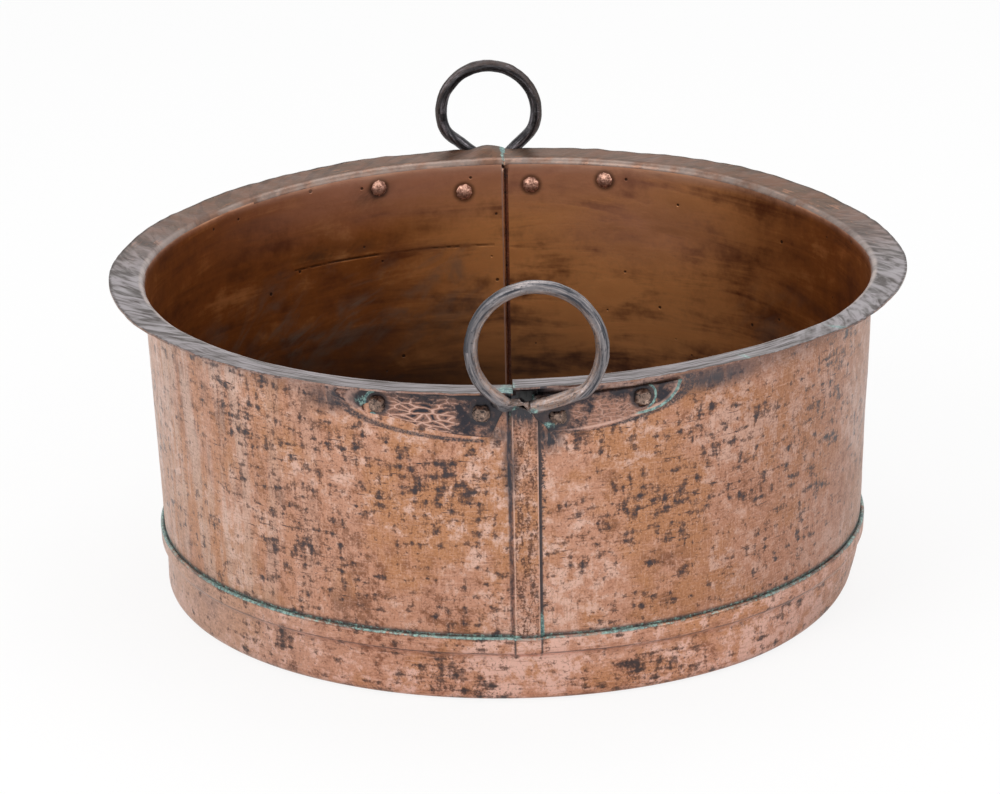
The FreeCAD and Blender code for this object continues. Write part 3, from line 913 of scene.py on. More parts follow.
class Effects:
    """The shader node groups that several finishes share."""

    def __init__(self, sizes: PotSizes) -> None:
        """Build every group once."""
        self.sizes = sizes
        place = {"Place": (0.0, 0.0, 0.0)}
        tones = dict.fromkeys(("Dark", "Middle", "Pale", "Hue"), (0.5, 0.5, 0.5, 1.0))
        self.around = new_group("around_the_pot", {**place, "Turn": 0.0}, self.write_around)
        self.spots = new_group("patina_spots", {**place, "Size": 150.0, "Cover": 0.3, "Speckle": 0.5},
                               self.write_spots)
        self.scouring = new_group("scouring", {**place, "Fine": 900.0}, self.write_scouring)
        self.crust = new_group("verdigris", {**place, "Where": 0.0}, self.write_crust)
        self.mottle = new_group("mottle", {**place, **tones}, self.write_mottle)

    def write_around(self, recipe: Recipe, given: Made) -> Dict[str, Wire]:
        """Places round the pot: arc length from a seam, height and radius."""
        turned = recipe.add("ShaderNodeVectorRotate", {"Vector": given["Place"], "Angle": given["Turn"]},
                            rotation_type="Z_AXIS")
        part = recipe.parts(turned[0])
        around = recipe.math("ARCTAN2", part[0], part[1] * -1.0) * self.sizes.wall_foot_radius
        radius = recipe.math("SQRT", part[0] * part[0] + part[1] * part[1])
        return {"Around": around, "Height": part[2], "Radius": radius,
                "Wrap": recipe.combine(around, part[2], radius)}

    def write_spots(self, recipe: Recipe, given: Made) -> Dict[str, Wire]:
        """Soft squarish tarnish spots, strung along the upright and level rows of a planishing hammer."""
        size = given["Size"]
        slow = size * 0.34
        total = given["Speckle"] * 0.70
        for scale in (recipe.combine(size, slow), recipe.combine(slow, size)):
            total = total + recipe.noise(recipe.vector("MULTIPLY", given["Place"], scale), 1.0, 1.5, 0.6)
        return {"Mask": (given["Cover"] * 0.17 + total).ramp(1.38, 1.90)}

    def write_scouring(self, recipe: Recipe, given: Made) -> Dict[str, Wire]:
        """Fine upright and level scratches of scouring, as two values."""
        fine = given["Fine"]
        slow = fine * 0.11
        lines = {}
        for name, scale in (("Upright", recipe.combine(fine, slow)), ("Level", recipe.combine(slow, fine))):
            lines[name] = recipe.noise(recipe.vector("MULTIPLY", given["Place"], scale), 1.0, 2.0, 0.65)
        return lines

    def write_crust(self, recipe: Recipe, given: Made) -> Dict[str, Wire]:
        """Verdigris: a broken blue-green crust where a mask lets it grow."""
        broken = recipe.noise(given["Place"], 330.0, 4.0, 0.75)
        over = given["Where"] + broken - 1.12
        colour = recipe.mix(broken.ramp(0.42, 0.62), tone(66, 104, 108), tone(146, 184, 174))
        return {"Mask": over.ramp(0.0, 0.34, 0.0, 0.92), "Colour": colour}

    def write_mottle(self, recipe: Recipe, given: Made) -> Dict[str, Wire]:
        """Clouded blend of dark, middle and pale tones, with a second hue over it."""
        coarse = recipe.add("ShaderNodeTexNoise", {"Vector": given["Place"], "Scale": 12.0, "Detail": 4.0,
                                                   "Roughness": 0.6})
        cloud = recipe.add("ShaderNodeSeparateColor", {0: coarse["Color"]})
        value = cloud[0] * 0.45 + recipe.noise(given["Place"], 85.0, 6.0, 0.74) * 0.55
        colour = recipe.mix(value.ramp(0.40, 0.48), given["Dark"], given["Middle"])
        colour = recipe.mix(cloud[1].ramp(0.44, 0.58, 0.0, 0.9), colour, given["Hue"])
        colour = recipe.mix(value.ramp(0.50, 0.58), colour, given["Pale"])
        return {"Colour": colour, "Value": value, "Zone": cloud[2]}


@dataclass(frozen=True)
class Patch:
    """A soft oval patch on the pot: its middle's arc length from the seam and height, and its half sizes."""

    around: float
    height: float
    half_around: float
    half_height: float
    weight: float = 1.0


class Finish:
    """A material that is being written: its recipe, its shader and the places that it reads."""

    def __init__(self, name: str, effects: Effects, turn: float = 0.0) -> None:
        """Start a material.

        Args:
            name: Its name.
            effects: The shared groups.
            turn: Angle in radians from the front seam to the seam that it is drawn from.
        """
        self.material = bpy.data.materials.new(name)
        self.material.use_nodes = True
        self.effects = effects
        self.recipe = Recipe(self.material.node_tree)
        self.shader = self.material.node_tree.nodes["Principled BSDF"]
        self.place = self.recipe.add("ShaderNodeTexCoord", {})["Object"]
        bearing = effects.sizes.seam_bearing + turn
        places = self.recipe.group(effects.around, Place=self.place, Turn=-bearing)
        self.wrap = places["Wrap"]
        self.around = places["Around"]
        self.height = places["Height"]
        self.radius = places["Radius"]

    def reach(self, middle: Point2, half: Point2) -> Wire:
        """Distance from a place on the pot, where 1 is an oval of the given half sizes round it."""
        offset = self.recipe.vector("SUBTRACT", self.wrap, (*middle, 0.0))
        scaled = self.recipe.vector("MULTIPLY", offset, (1.0 / half[0], 1.0 / half[1], 0.0))
        return self.recipe.vector("LENGTH", scaled)

    def patches(self, patches: Sequence[Patch]) -> Wire:
        """Mask of soft patches."""
        masks = []
        for patch in patches:
            reach = self.reach((patch.around, patch.height), (patch.half_around, patch.half_height))
            masks.append(reach.ramp(1.0, 0.0, 0.0, patch.weight))
        return self.recipe.most(*masks)

    def outline(self, middle: Point2, half: Point2, width: float) -> Wire:
        """Mask of an oval line, whose half width is a share of its half sizes."""
        return self.recipe.math("ABSOLUTE", self.reach(middle, half) - 1.0).ramp(width, width * 0.3)

    def leaf_edge(self, grow: float, width: float) -> Wire:
        """Mask of a line along the lower edges of the two leaves, a share further out."""
        left = self.outline((-0.020, 0.249), (0.118 * grow, 0.028 * grow), width)
        left = left * self.around.ramp(-0.026, -0.034)
        right = self.outline((0.010, 0.255), (0.112 * grow, 0.029 * grow), width)
        right = right * self.around.ramp(0.014, 0.022)
        return self.recipe.most(left, right) * self.height.ramp(0.2625, 0.2590)

    def crusted(self, colour: Wire, where: Wire) -> Tuple[Wire, Wire]:
        """The colour with verdigris over it, and the verdigris's mask."""
        crust = self.recipe.group(self.effects.crust, Place=self.place, Where=where)
        return self.recipe.mix(crust["Mask"], colour, crust["Colour"]), crust["Mask"]

    def haze(self, weight: float, roughness: float) -> None:
        """Pale oxide bloom that shows at glancing angles."""
        self.shader.inputs["Sheen Weight"].default_value = weight
        self.shader.inputs["Sheen Roughness"].default_value = roughness
        self.shader.inputs["Sheen Tint"].default_value = (0.92, 0.92, 0.92, 1.0)

    def surface(self, colour: Wire, metal: Value, roughness: Wire, height: Wire, strength: float = 0.5,
                depth: float = 0.0012) -> bpy.types.Material:
        """Feed the shader and end the material.

        Args:
            colour: Its base colour.
            metal: How metallic it is.
            roughness: How rough it is.
            height: Fine relief for the bump.
            strength: The bump's strength.
            depth: The bump's depth in metres.

        Returns:
            The material.
        """
        bump = self.recipe.add("ShaderNodeBump", {"Strength": strength, "Distance": depth, "Height": height})
        feeds = {"Base Color": colour, "Metallic": metal, "Roughness": roughness, "Normal": bump[0]}
        for key, value in feeds.items():
            self.recipe.feed(self.shader.inputs[key], value)
        return self.material


@dataclass(frozen=True)
class ScouredCopper:
    """Sheet copper that is scoured bright and spotted with dark tarnish."""

    pale: Colour = tone(222, 182, 164)
    salmon: Colour = tone(198, 147, 122)
    tan: Colour = tone(188, 134, 96)
    brown: Colour = tone(140, 96, 74)
    # Pale grey for the drawn streaks and for the painted side light at the left.
    ash_and_side_light: Colour = tone(206, 182, 168)
    spot: Colour = tone(46, 45, 52)
    rust: Colour = tone(106, 72, 56)

    def bare(self, finish: Finish) -> Made:
        """The mottle of bare copper below the scratches and spots."""
        return finish.recipe.group(finish.effects.mottle, Place=finish.place, Dark=self.brown,
                                   Middle=self.salmon, Pale=self.pale, Hue=self.tan)

    def spotted(self, finish: Finish, colour: Wire, speckle: Wire, marks: Wire) -> Wire:
        """The colour with its fine speckle, and with its dark spots in their brown edges."""
        mix = finish.recipe.mix
        colour = mix(speckle.ramp(0.45, 0.33, 0.0, 0.45), colour, self.pale)
        colour = mix(speckle.ramp(0.52, 0.62, 0.0, 0.35), colour, self.rust)
        colour = mix(marks.ramp(0.0, 0.45, 0.0, 0.66), colour, self.rust)
        return mix(marks.ramp(0.16, 0.96, 0.0, 0.90), colour, self.spot)

    def close(self, finish: Finish, colour: Wire, dull: Wire, value: Wire, height: Wire
              ) -> bpy.types.Material:
        """End the material: metal where it isn't dull, smoother where it is pale."""
        finish.haze(0.20, 0.35)
        metal = finish.recipe.rest_of(1.0, dull)
        return finish.surface(colour, metal, value.ramp(0.36, 0.62, 0.48, 0.34), height, 0.6)


@dataclass(frozen=True)
class WallCopper(ScouredCopper):
    """The wall's outside, with its seam and its crusted foot, sooty marks mixed with painted shadow below the
    handle, painted shade under the rim and between the ring's legs, and painted side light.
    """

    name: str = "wall_copper"
    slate: Colour = tone(74, 74, 82)
    gap_shade: Colour = tone(10, 10, 12)
    clusters: Tuple[Patch, ...] = (
        Patch(-0.078, 0.190, 0.085, 0.056, 0.95),
        Patch(-0.115, 0.160, 0.055, 0.045, 0.60),
        Patch(-0.130, 0.212, 0.060, 0.034, 0.75),
        Patch(0.100, 0.152, 0.130, 0.046, 0.95),
        Patch(0.055, 0.225, 0.070, 0.024, 0.70),
        Patch(0.150, 0.205, 0.070, 0.055, 0.65),
        Patch(0.285, 0.190, 0.080, 0.080, 0.90),
        Patch(-0.250, 0.215, 0.080, 0.065, 0.55),
        Patch(-0.170, 0.120, 0.070, 0.050, 0.50),
    )
    # Sooty marks near the seam's top, mixed with painted shadow under the leaves and the rim.
    soot_and_shadow_smears: Tuple[Patch, ...] = (
        Patch(0.002, 0.251, 0.036, 0.030, 1.7),
        Patch(0.150, 0.252, 0.060, 0.014, 1.0),
        Patch(0.017, 0.222, 0.018, 0.020, 1.3),
        Patch(-0.020, 0.226, 0.016, 0.016, 1.0),
        Patch(-0.012, 0.200, 0.010, 0.046, 1.0),
        Patch(-0.150, 0.244, 0.034, 0.016, 0.9),
    )
    shade_between_legs: Patch = Patch(0.0020, 0.2555, 0.0170, 0.0150, 1.6)

    def body(self, finish: Finish, scour: Made, bare: Wire) -> Wire:
        """Scoured copper before its spots: browner to the right as painted shade, paler and greyer at the far
        left as painted side light broken by drawn streaks.
        """
        recipe = finish.recipe
        # Painted shade: browner towards the right side.
        colour = recipe.mix(finish.around.ramp(0.02, 0.26, 0.05, 0.55), bare, self.brown)
        drawn = recipe.noise(recipe.mapped(finish.wrap, (60.0, 7.0, 0.0)), 1.0, 3.0, 0.6)
        # Painted side light: paler and greyer towards the left, broken by drawn streaks.
        left = finish.around.ramp(-0.10, -0.30)
        colour = recipe.mix(left * drawn.ramp(0.44, 0.60, 0.1, 0.6), colour, self.ash_and_side_light)
        colour = recipe.mix(left * drawn.ramp(0.50, 0.38, 0.0, 0.5), colour, self.tan)
        lines = recipe.most(scour["Upright"].ramp(0.52, 0.72), scour["Level"].ramp(0.54, 0.72))
        colour = recipe.mix(lines * 0.42, colour, self.brown)
        shine = recipe.math("MINIMUM", scour["Upright"], scour["Level"])
        return recipe.mix(shine.ramp(0.44, 0.30, 0.0, 0.28), colour, self.pale)

    def tarnish(self, finish: Finish, zone: Wire, level: Wire, speckle: Wire) -> Wire:
        """Mask of the dark spots, dots and scores, thicker in clusters."""
        cover = zone.ramp(0.38, 0.64, -0.15, 0.55) + finish.patches(self.clusters)
        spots = finish.recipe.group(finish.effects.spots, Place=finish.wrap, Size=172.0, Cover=cover,
                                    Speckle=speckle)
        dots = (cover * 0.07 + speckle).ramp(0.62, 0.76, 0.0, 0.9)
        scores = (cover * 0.05 + level).ramp(0.66, 0.78, 0.0, 0.9)
        return finish.recipe.most(spots[0], dots, scores)

    def seam(self, finish: Finish, colour: Wire, grain: Wire, speckle: Wire) -> Tuple[Wire, Wire]:
        """Draw the barky strip of the seam, the groove at its left and the crevice at its right.

        Args:
            finish: The material.
            colour: The colour below.
            grain: Short upright streaks.
            speckle: Fine speckle.

        Returns:
            The colour, and the mask of the grime.
        """
        recipe = finish.recipe
        around = finish.around
        half = finish.effects.sizes.seam_width / 2
        barky = (grain * 0.5 + speckle * 0.5).ramp(0.47, 0.58, 0.05, 0.92)
        bark = around.band(-half - 0.004, half, 0.0012) * barky
        colour = recipe.mix(bark, colour, self.rust)
        groove = around.band(-half - 0.0046, -half - 0.0014, 0.0008) * grain.ramp(0.34, 0.56, 0.45, 1.0)
        colour = recipe.mix(groove * finish.height.ramp(0.06, 0.20, 0.45, 1.0), colour, self.slate)
        # Painted highlights: pale lines along the strip's two folded edges.
        fold = around.band(-half - 0.0008, -half + 0.0002, 0.0004)
        lip_highlight = around.band(half - 0.0014, half - 0.0004, 0.0004)
        colour = recipe.mix(recipe.most(fold, lip_highlight) * 0.7, colour, self.pale)
        right_of = recipe.math("GREATER_THAN", around, half - 0.0006)
        beside = around.ramp(half + 0.0095, half + 0.0006) * right_of
        core = around.ramp(half + 0.0026, half + 0.0014) * beside
        ragged = (beside * finish.height.ramp(0.08, 0.22, 0.10, 0.36) + speckle).ramp(0.66, 0.86)
        return colour, recipe.most(core, ragged * beside.ramp(0.0, 0.3), bark * 0.25)

    def make(self, effects: Effects) -> bpy.types.Material:
        """Make the material from the shared groups."""
        finish = Finish(self.name, effects)
        recipe = finish.recipe
        height = finish.height
        band_top = effects.sizes.band_top
        half = effects.sizes.seam_width / 2
        scour = recipe.group(effects.scouring, Place=finish.wrap, Fine=520.0)
        bare = self.bare(finish)
        speckle = recipe.noise(finish.wrap, 560.0, 4.0, 0.75)
        marks = self.tarnish(finish, bare["Zone"], scour["Level"], speckle)
        colour = self.spotted(finish, self.body(finish, scour, bare["Colour"]), speckle, marks)
        grain = recipe.noise(recipe.mapped(finish.wrap, (230.0, 62.0, 0.0)), 1.0, 4.0, 0.72, 0.6)
        colour, crevice = self.seam(finish, colour, grain, speckle)
        # Painted shadow mixed with sooty marks below the handle, and painted shadow with tarnish along the
        # leaves' lower edges.
        smear_and_shade = finish.patches(self.soot_and_shadow_smears) * grain.ramp(0.30, 0.55, 0.4, 1.0)
        shadow_and_tarnish_below_leaves = finish.leaf_edge(1.055, 0.075) * speckle.ramp(0.36, 0.58, 0.45, 1.0)
        foot = height.ramp(band_top + 0.0042, band_top + 0.0008)
        dirt_and_shade = recipe.most(crevice, smear_and_shade, shadow_and_tarnish_below_leaves, foot * 0.85)
        colour = recipe.mix(dirt_and_shade * 0.93, colour, self.spot)
        # Painted shade: darker towards the top, under the rim.
        colour = recipe.mix(height.ramp(0.236, 0.2625, 0.0, 0.5), colour, self.slate)
        seam_foot = finish.around.band(half - 0.001, half + 0.003, 0.001) * height.ramp(0.105, 0.060)
        seam_top = finish.around.band(-half - 0.004, -half + 0.001, 0.0015) * height.ramp(0.205, 0.240)
        colour, crust = finish.crusted(colour, recipe.most(foot * 0.74, seam_foot, seam_top * 0.66))
        # Painted shade: near black in the space between the ring's legs.
        colour = recipe.mix(finish.patches([self.shade_between_legs]), colour, self.gap_shade)
        relief = scour["Upright"] * 0.16 + scour["Level"] * 0.14 + bare["Value"] * 0.5 - marks * 0.18
        dull = recipe.most(marks * 0.5, dirt_and_shade * 0.7, crust)
        return self.close(finish, colour, dull, bare["Value"], relief + grain * 0.10)


@dataclass(frozen=True)
class PanCopper(ScouredCopper):
    """The base pan's outside: brighter, scuffed, pitted and worn, with painted side light at the left and
    painted shade at the right, under the band's step and beside the tab.
    """

    name: str = "base_copper"
    pale: Colour = tone(226, 184, 168)
    tan: Colour = tone(190, 136, 100)
    brown: Colour = tone(138, 92, 72)
    spot: Colour = tone(46, 41, 44)
    rust: Colour = tone(110, 74, 58)
    clusters: Tuple[Patch, ...] = (
        Patch(-0.068, 0.022, 0.036, 0.018, 1.1),
        Patch(-0.030, 0.008, 0.036, 0.016, 1.1),
        Patch(0.080, 0.016, 0.120, 0.022, 0.8),
        Patch(0.240, 0.036, 0.070, 0.018, 0.9),
        Patch(-0.220, 0.030, 0.060, 0.016, 0.7),
    )

    def make(self, effects: Effects) -> bpy.types.Material:
        """Make the material from the shared groups."""
        finish = Finish(self.name, effects)
        recipe = finish.recipe
        sizes = effects.sizes
        bare = self.bare(finish)
        speckle = recipe.noise(finish.wrap, 500.0, 4.0, 0.75)
        cover = bare["Zone"].ramp(0.38, 0.64, -0.1, 0.55) + finish.patches(self.clusters)
        spots = recipe.group(effects.spots, Place=recipe.mapped(finish.wrap, (0.8, 1.2, 1.0)), Size=150.0,
                             Cover=cover, Speckle=speckle)
        marks = recipe.most(spots[0], (cover * 0.07 + speckle).ramp(0.61, 0.75, 0.0, 0.9))
        level = recipe.group(effects.scouring, Place=finish.wrap, Fine=460.0)["Level"]
        colour = recipe.mix(level.ramp(0.54, 0.72, 0.0, 0.5), bare["Colour"], self.brown)
        colour = recipe.mix(level.ramp(0.44, 0.32, 0.0, 0.5), colour, self.pale)
        # Painted side light: paler at the left; painted shade: browner at the right.
        colour = recipe.mix(finish.around.ramp(-0.12, -0.32, 0.0, 0.45), colour, self.ash_and_side_light)
        colour = recipe.mix(finish.around.ramp(0.12, 0.28, 0.0, 0.25), colour, self.brown)
        colour = self.spotted(finish, colour, speckle, marks)
        knee = sizes.band_top - sizes.band_height - sizes.band_knee
        # Painted shadow mixed with grime along the knee under the band's step, and painted shade on the tab's
        # sloping sides.
        line = finish.height.band(knee - 0.0030, knee - 0.0016, 0.0007) * level.ramp(0.36, 0.56, 0.25, 0.85)
        aside = recipe.math("ABSOLUTE", finish.around + 0.0004)
        tab = aside.band(0.0094, 0.0110, 0.0006) * finish.height.ramp(0.036, 0.043)
        dirt_and_shade = recipe.most(line, tab)
        colour = recipe.mix(dirt_and_shade * 0.85, colour, self.spot)
        top = finish.height.ramp(sizes.band_top - 0.0034, sizes.band_top - 0.0010)
        colour = recipe.mix(top * level.ramp(0.40, 0.55, 0.2, 0.6), colour, self.spot)
        colour, crust = finish.crusted(colour, top * bare["Zone"].ramp(0.36, 0.58, 0.66, 0.96))
        relief = bare["Value"] * 0.5 + level * 0.2 - marks * 0.3
        return self.close(finish, colour, recipe.most(marks * 0.5, dirt_and_shade * 0.6, crust), bare["Value"], relief)


@dataclass(frozen=True)
class FloorCopper:
    """Dark tarnish of the pan's inside, with faint rings of the hammer."""

    name: str = "floor_copper"
    deep: Colour = tone(50, 28, 16)
    brown: Colour = tone(104, 64, 36)
    gold: Colour = tone(150, 104, 66)
    hue: Colour = tone(112, 76, 50)

    def make(self, effects: Effects) -> bpy.types.Material:
        """Make the material from the shared groups."""
        finish = Finish(self.name, effects)
        recipe = finish.recipe
        bare = recipe.group(effects.mottle, Place=finish.place, Dark=self.deep, Middle=self.brown,
                            Pale=self.gold, Hue=self.hue)
        rings = recipe.noise(recipe.combine(finish.radius * 160.0, 0.0), 1.0, 2.0)
        colour = recipe.mix(rings.ramp(0.42, 0.66, 0.35, 0.0), bare["Colour"], self.deep)
        colour = recipe.mix(finish.radius.ramp(0.262, 0.280, 0.0, 0.6), colour, self.deep)
        roughness = bare["Value"].ramp(0.36, 0.62, 0.52, 0.40)
        return finish.surface(colour, 0.8, roughness, rings * 0.4 + bare["Value"])


@dataclass(frozen=True)
class InsideCopper:
    """Deep brown tarnish of the inside, wiped in level bands: painted light makes it pinker at the top, a
    painted highlight runs along the bend, and painted shade makes it black towards the foot.
    """

    name: str = "inside_copper"
    # Colour of the painted light at the top of the inside.
    top: Colour = tone(176, 122, 98)
    amber: Colour = tone(144, 84, 36)
    gold: Colour = tone(216, 150, 92)
    deep: Colour = tone(90, 44, 16)
    black: Colour = tone(20, 6, 2)
    grey: Colour = tone(122, 108, 96)
    fold: Colour = tone(168, 138, 128)
    # Colour of the painted highlight along the bend.
    bend: Colour = tone(190, 148, 126)
    # Patch of painted light at the back of the inside.
    glow: Patch = Patch(0.780, 0.215, 0.130, 0.058, 0.60)
    smudges: Tuple[Patch, ...] = (
        Patch(-0.74, 0.135, 0.24, 0.080, 1.2),
        Patch(-0.86, 0.170, 0.07, 0.035, 0.8),
        Patch(0.62, 0.150, 0.12, 0.050, 0.5),
    )
    # Darker patches, mostly low on the left.
    dark_patches: Tuple[Patch, ...] = (
        Patch(-0.800, 0.245, 0.030, 0.020, 0.8),
        Patch(-0.760, 0.200, 0.060, 0.014, 1.0),
        Patch(-0.700, 0.090, 0.280, 0.070, 0.9),
        Patch(0.860, 0.075, 0.140, 0.040, 0.6),
        Patch(0.560, 0.110, 0.080, 0.060, 0.5),
    )
    rivets: Tuple[Point2, ...] = (
        (0.8096, 0.2508), (0.8735, 0.2445), (-0.8805, 0.2395), (-0.8056, 0.2500),
        (-0.1107, 0.2473), (-0.0322, 0.2445), (0.0236, 0.2395), (0.0876, 0.2491),
    )
    rivet_ring: float = 0.0125
    seam_line: float = 0.0077

    def pits(self, finish: Finish) -> Wire:
        """Mask of scattered black pits."""
        recipe = finish.recipe
        cells = recipe.add("ShaderNodeTexVoronoi", {"Vector": finish.wrap, "Scale": 62.0},
                           voronoi_dimensions="2D")
        chance = recipe.add("ShaderNodeSeparateColor", {0: cells["Color"]})
        near = chance[1] * 0.07 + 0.03 - cells["Distance"]
        return near.ramp(-0.03, 0.02, 0.0, 0.85) * recipe.math("LESS_THAN", chance[0], 0.05)

    def make(self, effects: Effects) -> bpy.types.Material:
        """Make the material from the shared groups."""
        finish = Finish(self.name, effects)
        recipe = finish.recipe
        height = finish.height
        across = recipe.parts(finish.place)[0]
        half = math.pi * effects.sizes.wall_foot_radius
        beyond = recipe.math("GREATER_THAN", finish.around, half - self.seam_line)
        sheet = recipe.combine(beyond * (-2.0 * half) + finish.around, height)
        wiped = recipe.noise(recipe.mapped(sheet, (7.0, 46.0, 0.0)), 1.0, 4.0, 0.62, 0.7)
        turned = recipe.mapped(sheet, (1.0, 1.0, 0.0), turn=0.55)
        slanted = recipe.noise(recipe.mapped(turned, (20.0, 46.0, 0.0)), 1.0, 4.0, 0.66, 0.5)
        cloud = recipe.noise(finish.place, 26.0, 4.0, 0.68)
        blend = wiped * 0.55 + cloud * 0.45
        warm = recipe.mix(across.band(-0.06, 0.205, 0.07), self.amber, self.gold)
        colour = recipe.mix(blend.ramp(0.34, 0.58), self.deep, warm)
        colour = recipe.mix(blend.ramp(0.52, 0.68, 0.0, 0.7), colour, self.gold)
        # Painted light: pinker towards the top, and in a broad patch at the back.
        high = (cloud * 0.05 + height).ramp(0.225, 0.286) * across.band(-0.21, 0.14, 0.08)
        colour = recipe.mix(recipe.most(high * 0.8, finish.patches([self.glow])), colour, self.top)
        smudge = finish.patches(self.smudges) * slanted.ramp(0.44, 0.70, 0.0, 0.7)
        colour = recipe.mix(smudge, colour, self.grey)
        dark_patch = finish.patches(self.dark_patches) * slanted.ramp(0.36, 0.58, 1.0, 0.15)
        # Painted shade: black towards the foot, stronger on the left.
        low = (wiped * 0.07 + height).ramp(0.215, 0.095) * across.ramp(-0.05, 0.15, 0.97, 0.66)
        dark = recipe.most(dark_patch, low)
        colour = recipe.mix(dark * 0.9, colour, self.black)
        line = height.band(0.1895, 0.1915, 0.0009) * finish.around.band(-0.905, -0.71, 0.03)
        marks = recipe.most(self.pits(finish), line * cloud.ramp(0.44, 0.54, 0.1, 0.8))
        rings = finish.patches([Patch(*rivet, self.rivet_ring, self.rivet_ring) for rivet in self.rivets])
        colour = recipe.mix(recipe.most(marks, rings.ramp(0.0, 0.34, 0.0, 0.62)), colour, self.black)
        # Painted highlight: a pale broken band along the bend at the top of the inside.
        lip_highlight = height.ramp(0.2530, 0.2625, 0.0, 0.8) * cloud.ramp(0.34, 0.60, 0.35, 1.0)
        colour = recipe.mix(lip_highlight, colour, self.bend)
        edge = finish.around.band(half - 0.0082, half - 0.0070, 0.0005)
        colour = recipe.mix(edge * 0.75, colour, self.fold)
        seam = finish.around.band(half - 0.012, half - 0.006, 0.001) * height.ramp(0.225, 0.262, 0.0, 0.66)
        colour, crust = finish.crusted(colour, seam)
        metal = recipe.rest_of(0.80, recipe.most(dark * 0.4, crust))
        relief = cloud * 0.45 + wiped * 0.3 - marks * 0.5
        return finish.surface(colour, metal, blend.ramp(0.40, 0.62, 0.52, 0.38), relief)


@dataclass(frozen=True)
class RimCopper:
    """Hammered grey rim: lilac grey with slanted brown marks, browner at the back, chipped at its edge, with
    a painted highlight along its inner bend.
    """

    name: str = "rim_copper"
    lilac: Colour = tone(152, 145, 148)
    grey: Colour = tone(110, 103, 103)
    umber: Colour = tone(54, 41, 36)
    brown: Colour = tone(115, 79, 58)
    dun: Colour = tone(101, 80, 66)
    copper: Colour = tone(172, 122, 94)
    # Colour of the painted highlight along the inner bend.
    bend: Colour = tone(184, 170, 164)
    crusts: Tuple[Patch, ...] = (
        Patch(-0.0140, 0.268, 0.018, 0.020, 1.15),
        Patch(0.8972, 0.272, 0.005, 0.030, 1.25),
        Patch(0.162, 0.268, 0.010, 0.020, 0.95),
        Patch(0.258, 0.268, 0.012, 0.020, 0.95),
    )

    def make(self, effects: Effects) -> bpy.types.Material:
        """Make the material from the shared groups."""
        finish = Finish(self.name, effects)
        recipe = finish.recipe
        radius = finish.radius
        rim_radius = effects.sizes.rim_radius
        depth = recipe.parts(finish.place)[1]
        to_back = depth.ramp(-0.04, 0.17)
        across = radius * 1.1 + finish.around
        along = finish.around * -0.5 + radius
        slant = recipe.noise(recipe.combine(across * 88.0, along * 30.0), 1.0, 3.0, 0.6, 0.5)
        run = recipe.noise(recipe.combine(finish.around * 22.0, radius * 320.0), 1.0, 3.0, 0.62)
        marks = (run - slant) * depth.ramp(-0.16, -0.26) + slant
        soft = recipe.noise(finish.place, 30.0, 5.0, 0.66)
        front = recipe.mix(marks.ramp(0.44, 0.62), self.grey, self.lilac)
        rear = recipe.mix(soft.ramp(0.40, 0.60), self.brown, self.dun)
        rear = recipe.mix((run * 0.6 + soft).ramp(0.88, 0.98, 0.0, 0.6), rear, self.copper)
        colour = recipe.mix(to_back, front, rear)
        colour = recipe.mix(marks.ramp(0.49, 0.38) * to_back.ramp(0.0, 1.0, 0.9, 0.35), colour, self.umber)
        # Painted highlight: a pale line along the inner bend, weaker at the back.
        inner = radius.ramp(0.3022, 0.2992) * soft.ramp(0.36, 0.60, 0.25, 0.9)
        colour = recipe.mix(inner * to_back.ramp(0.0, 0.7, 1.0, 0.4), colour, self.bend)
        chips = recipe.noise(finish.place, 240.0, 3.0, 0.6)
        edge = radius.ramp(rim_radius - 0.0030, rim_radius - 0.0008)
        colour = recipe.mix(edge * chips.ramp(0.40, 0.54, 0.25, 0.9), colour, self.umber)
        where = finish.patches(self.crusts) * radius.ramp(0.306, 0.318, 0.7, 1.0)
        colour, crust = finish.crusted(colour, where)
        relief = marks * 0.5 + chips * 0.12 + soft * 0.5
        return finish.surface(colour, recipe.rest_of(0.85, crust), soft.ramp(0.35, 0.65, 0.34, 0.48), relief,
                              0.6, 0.0015)


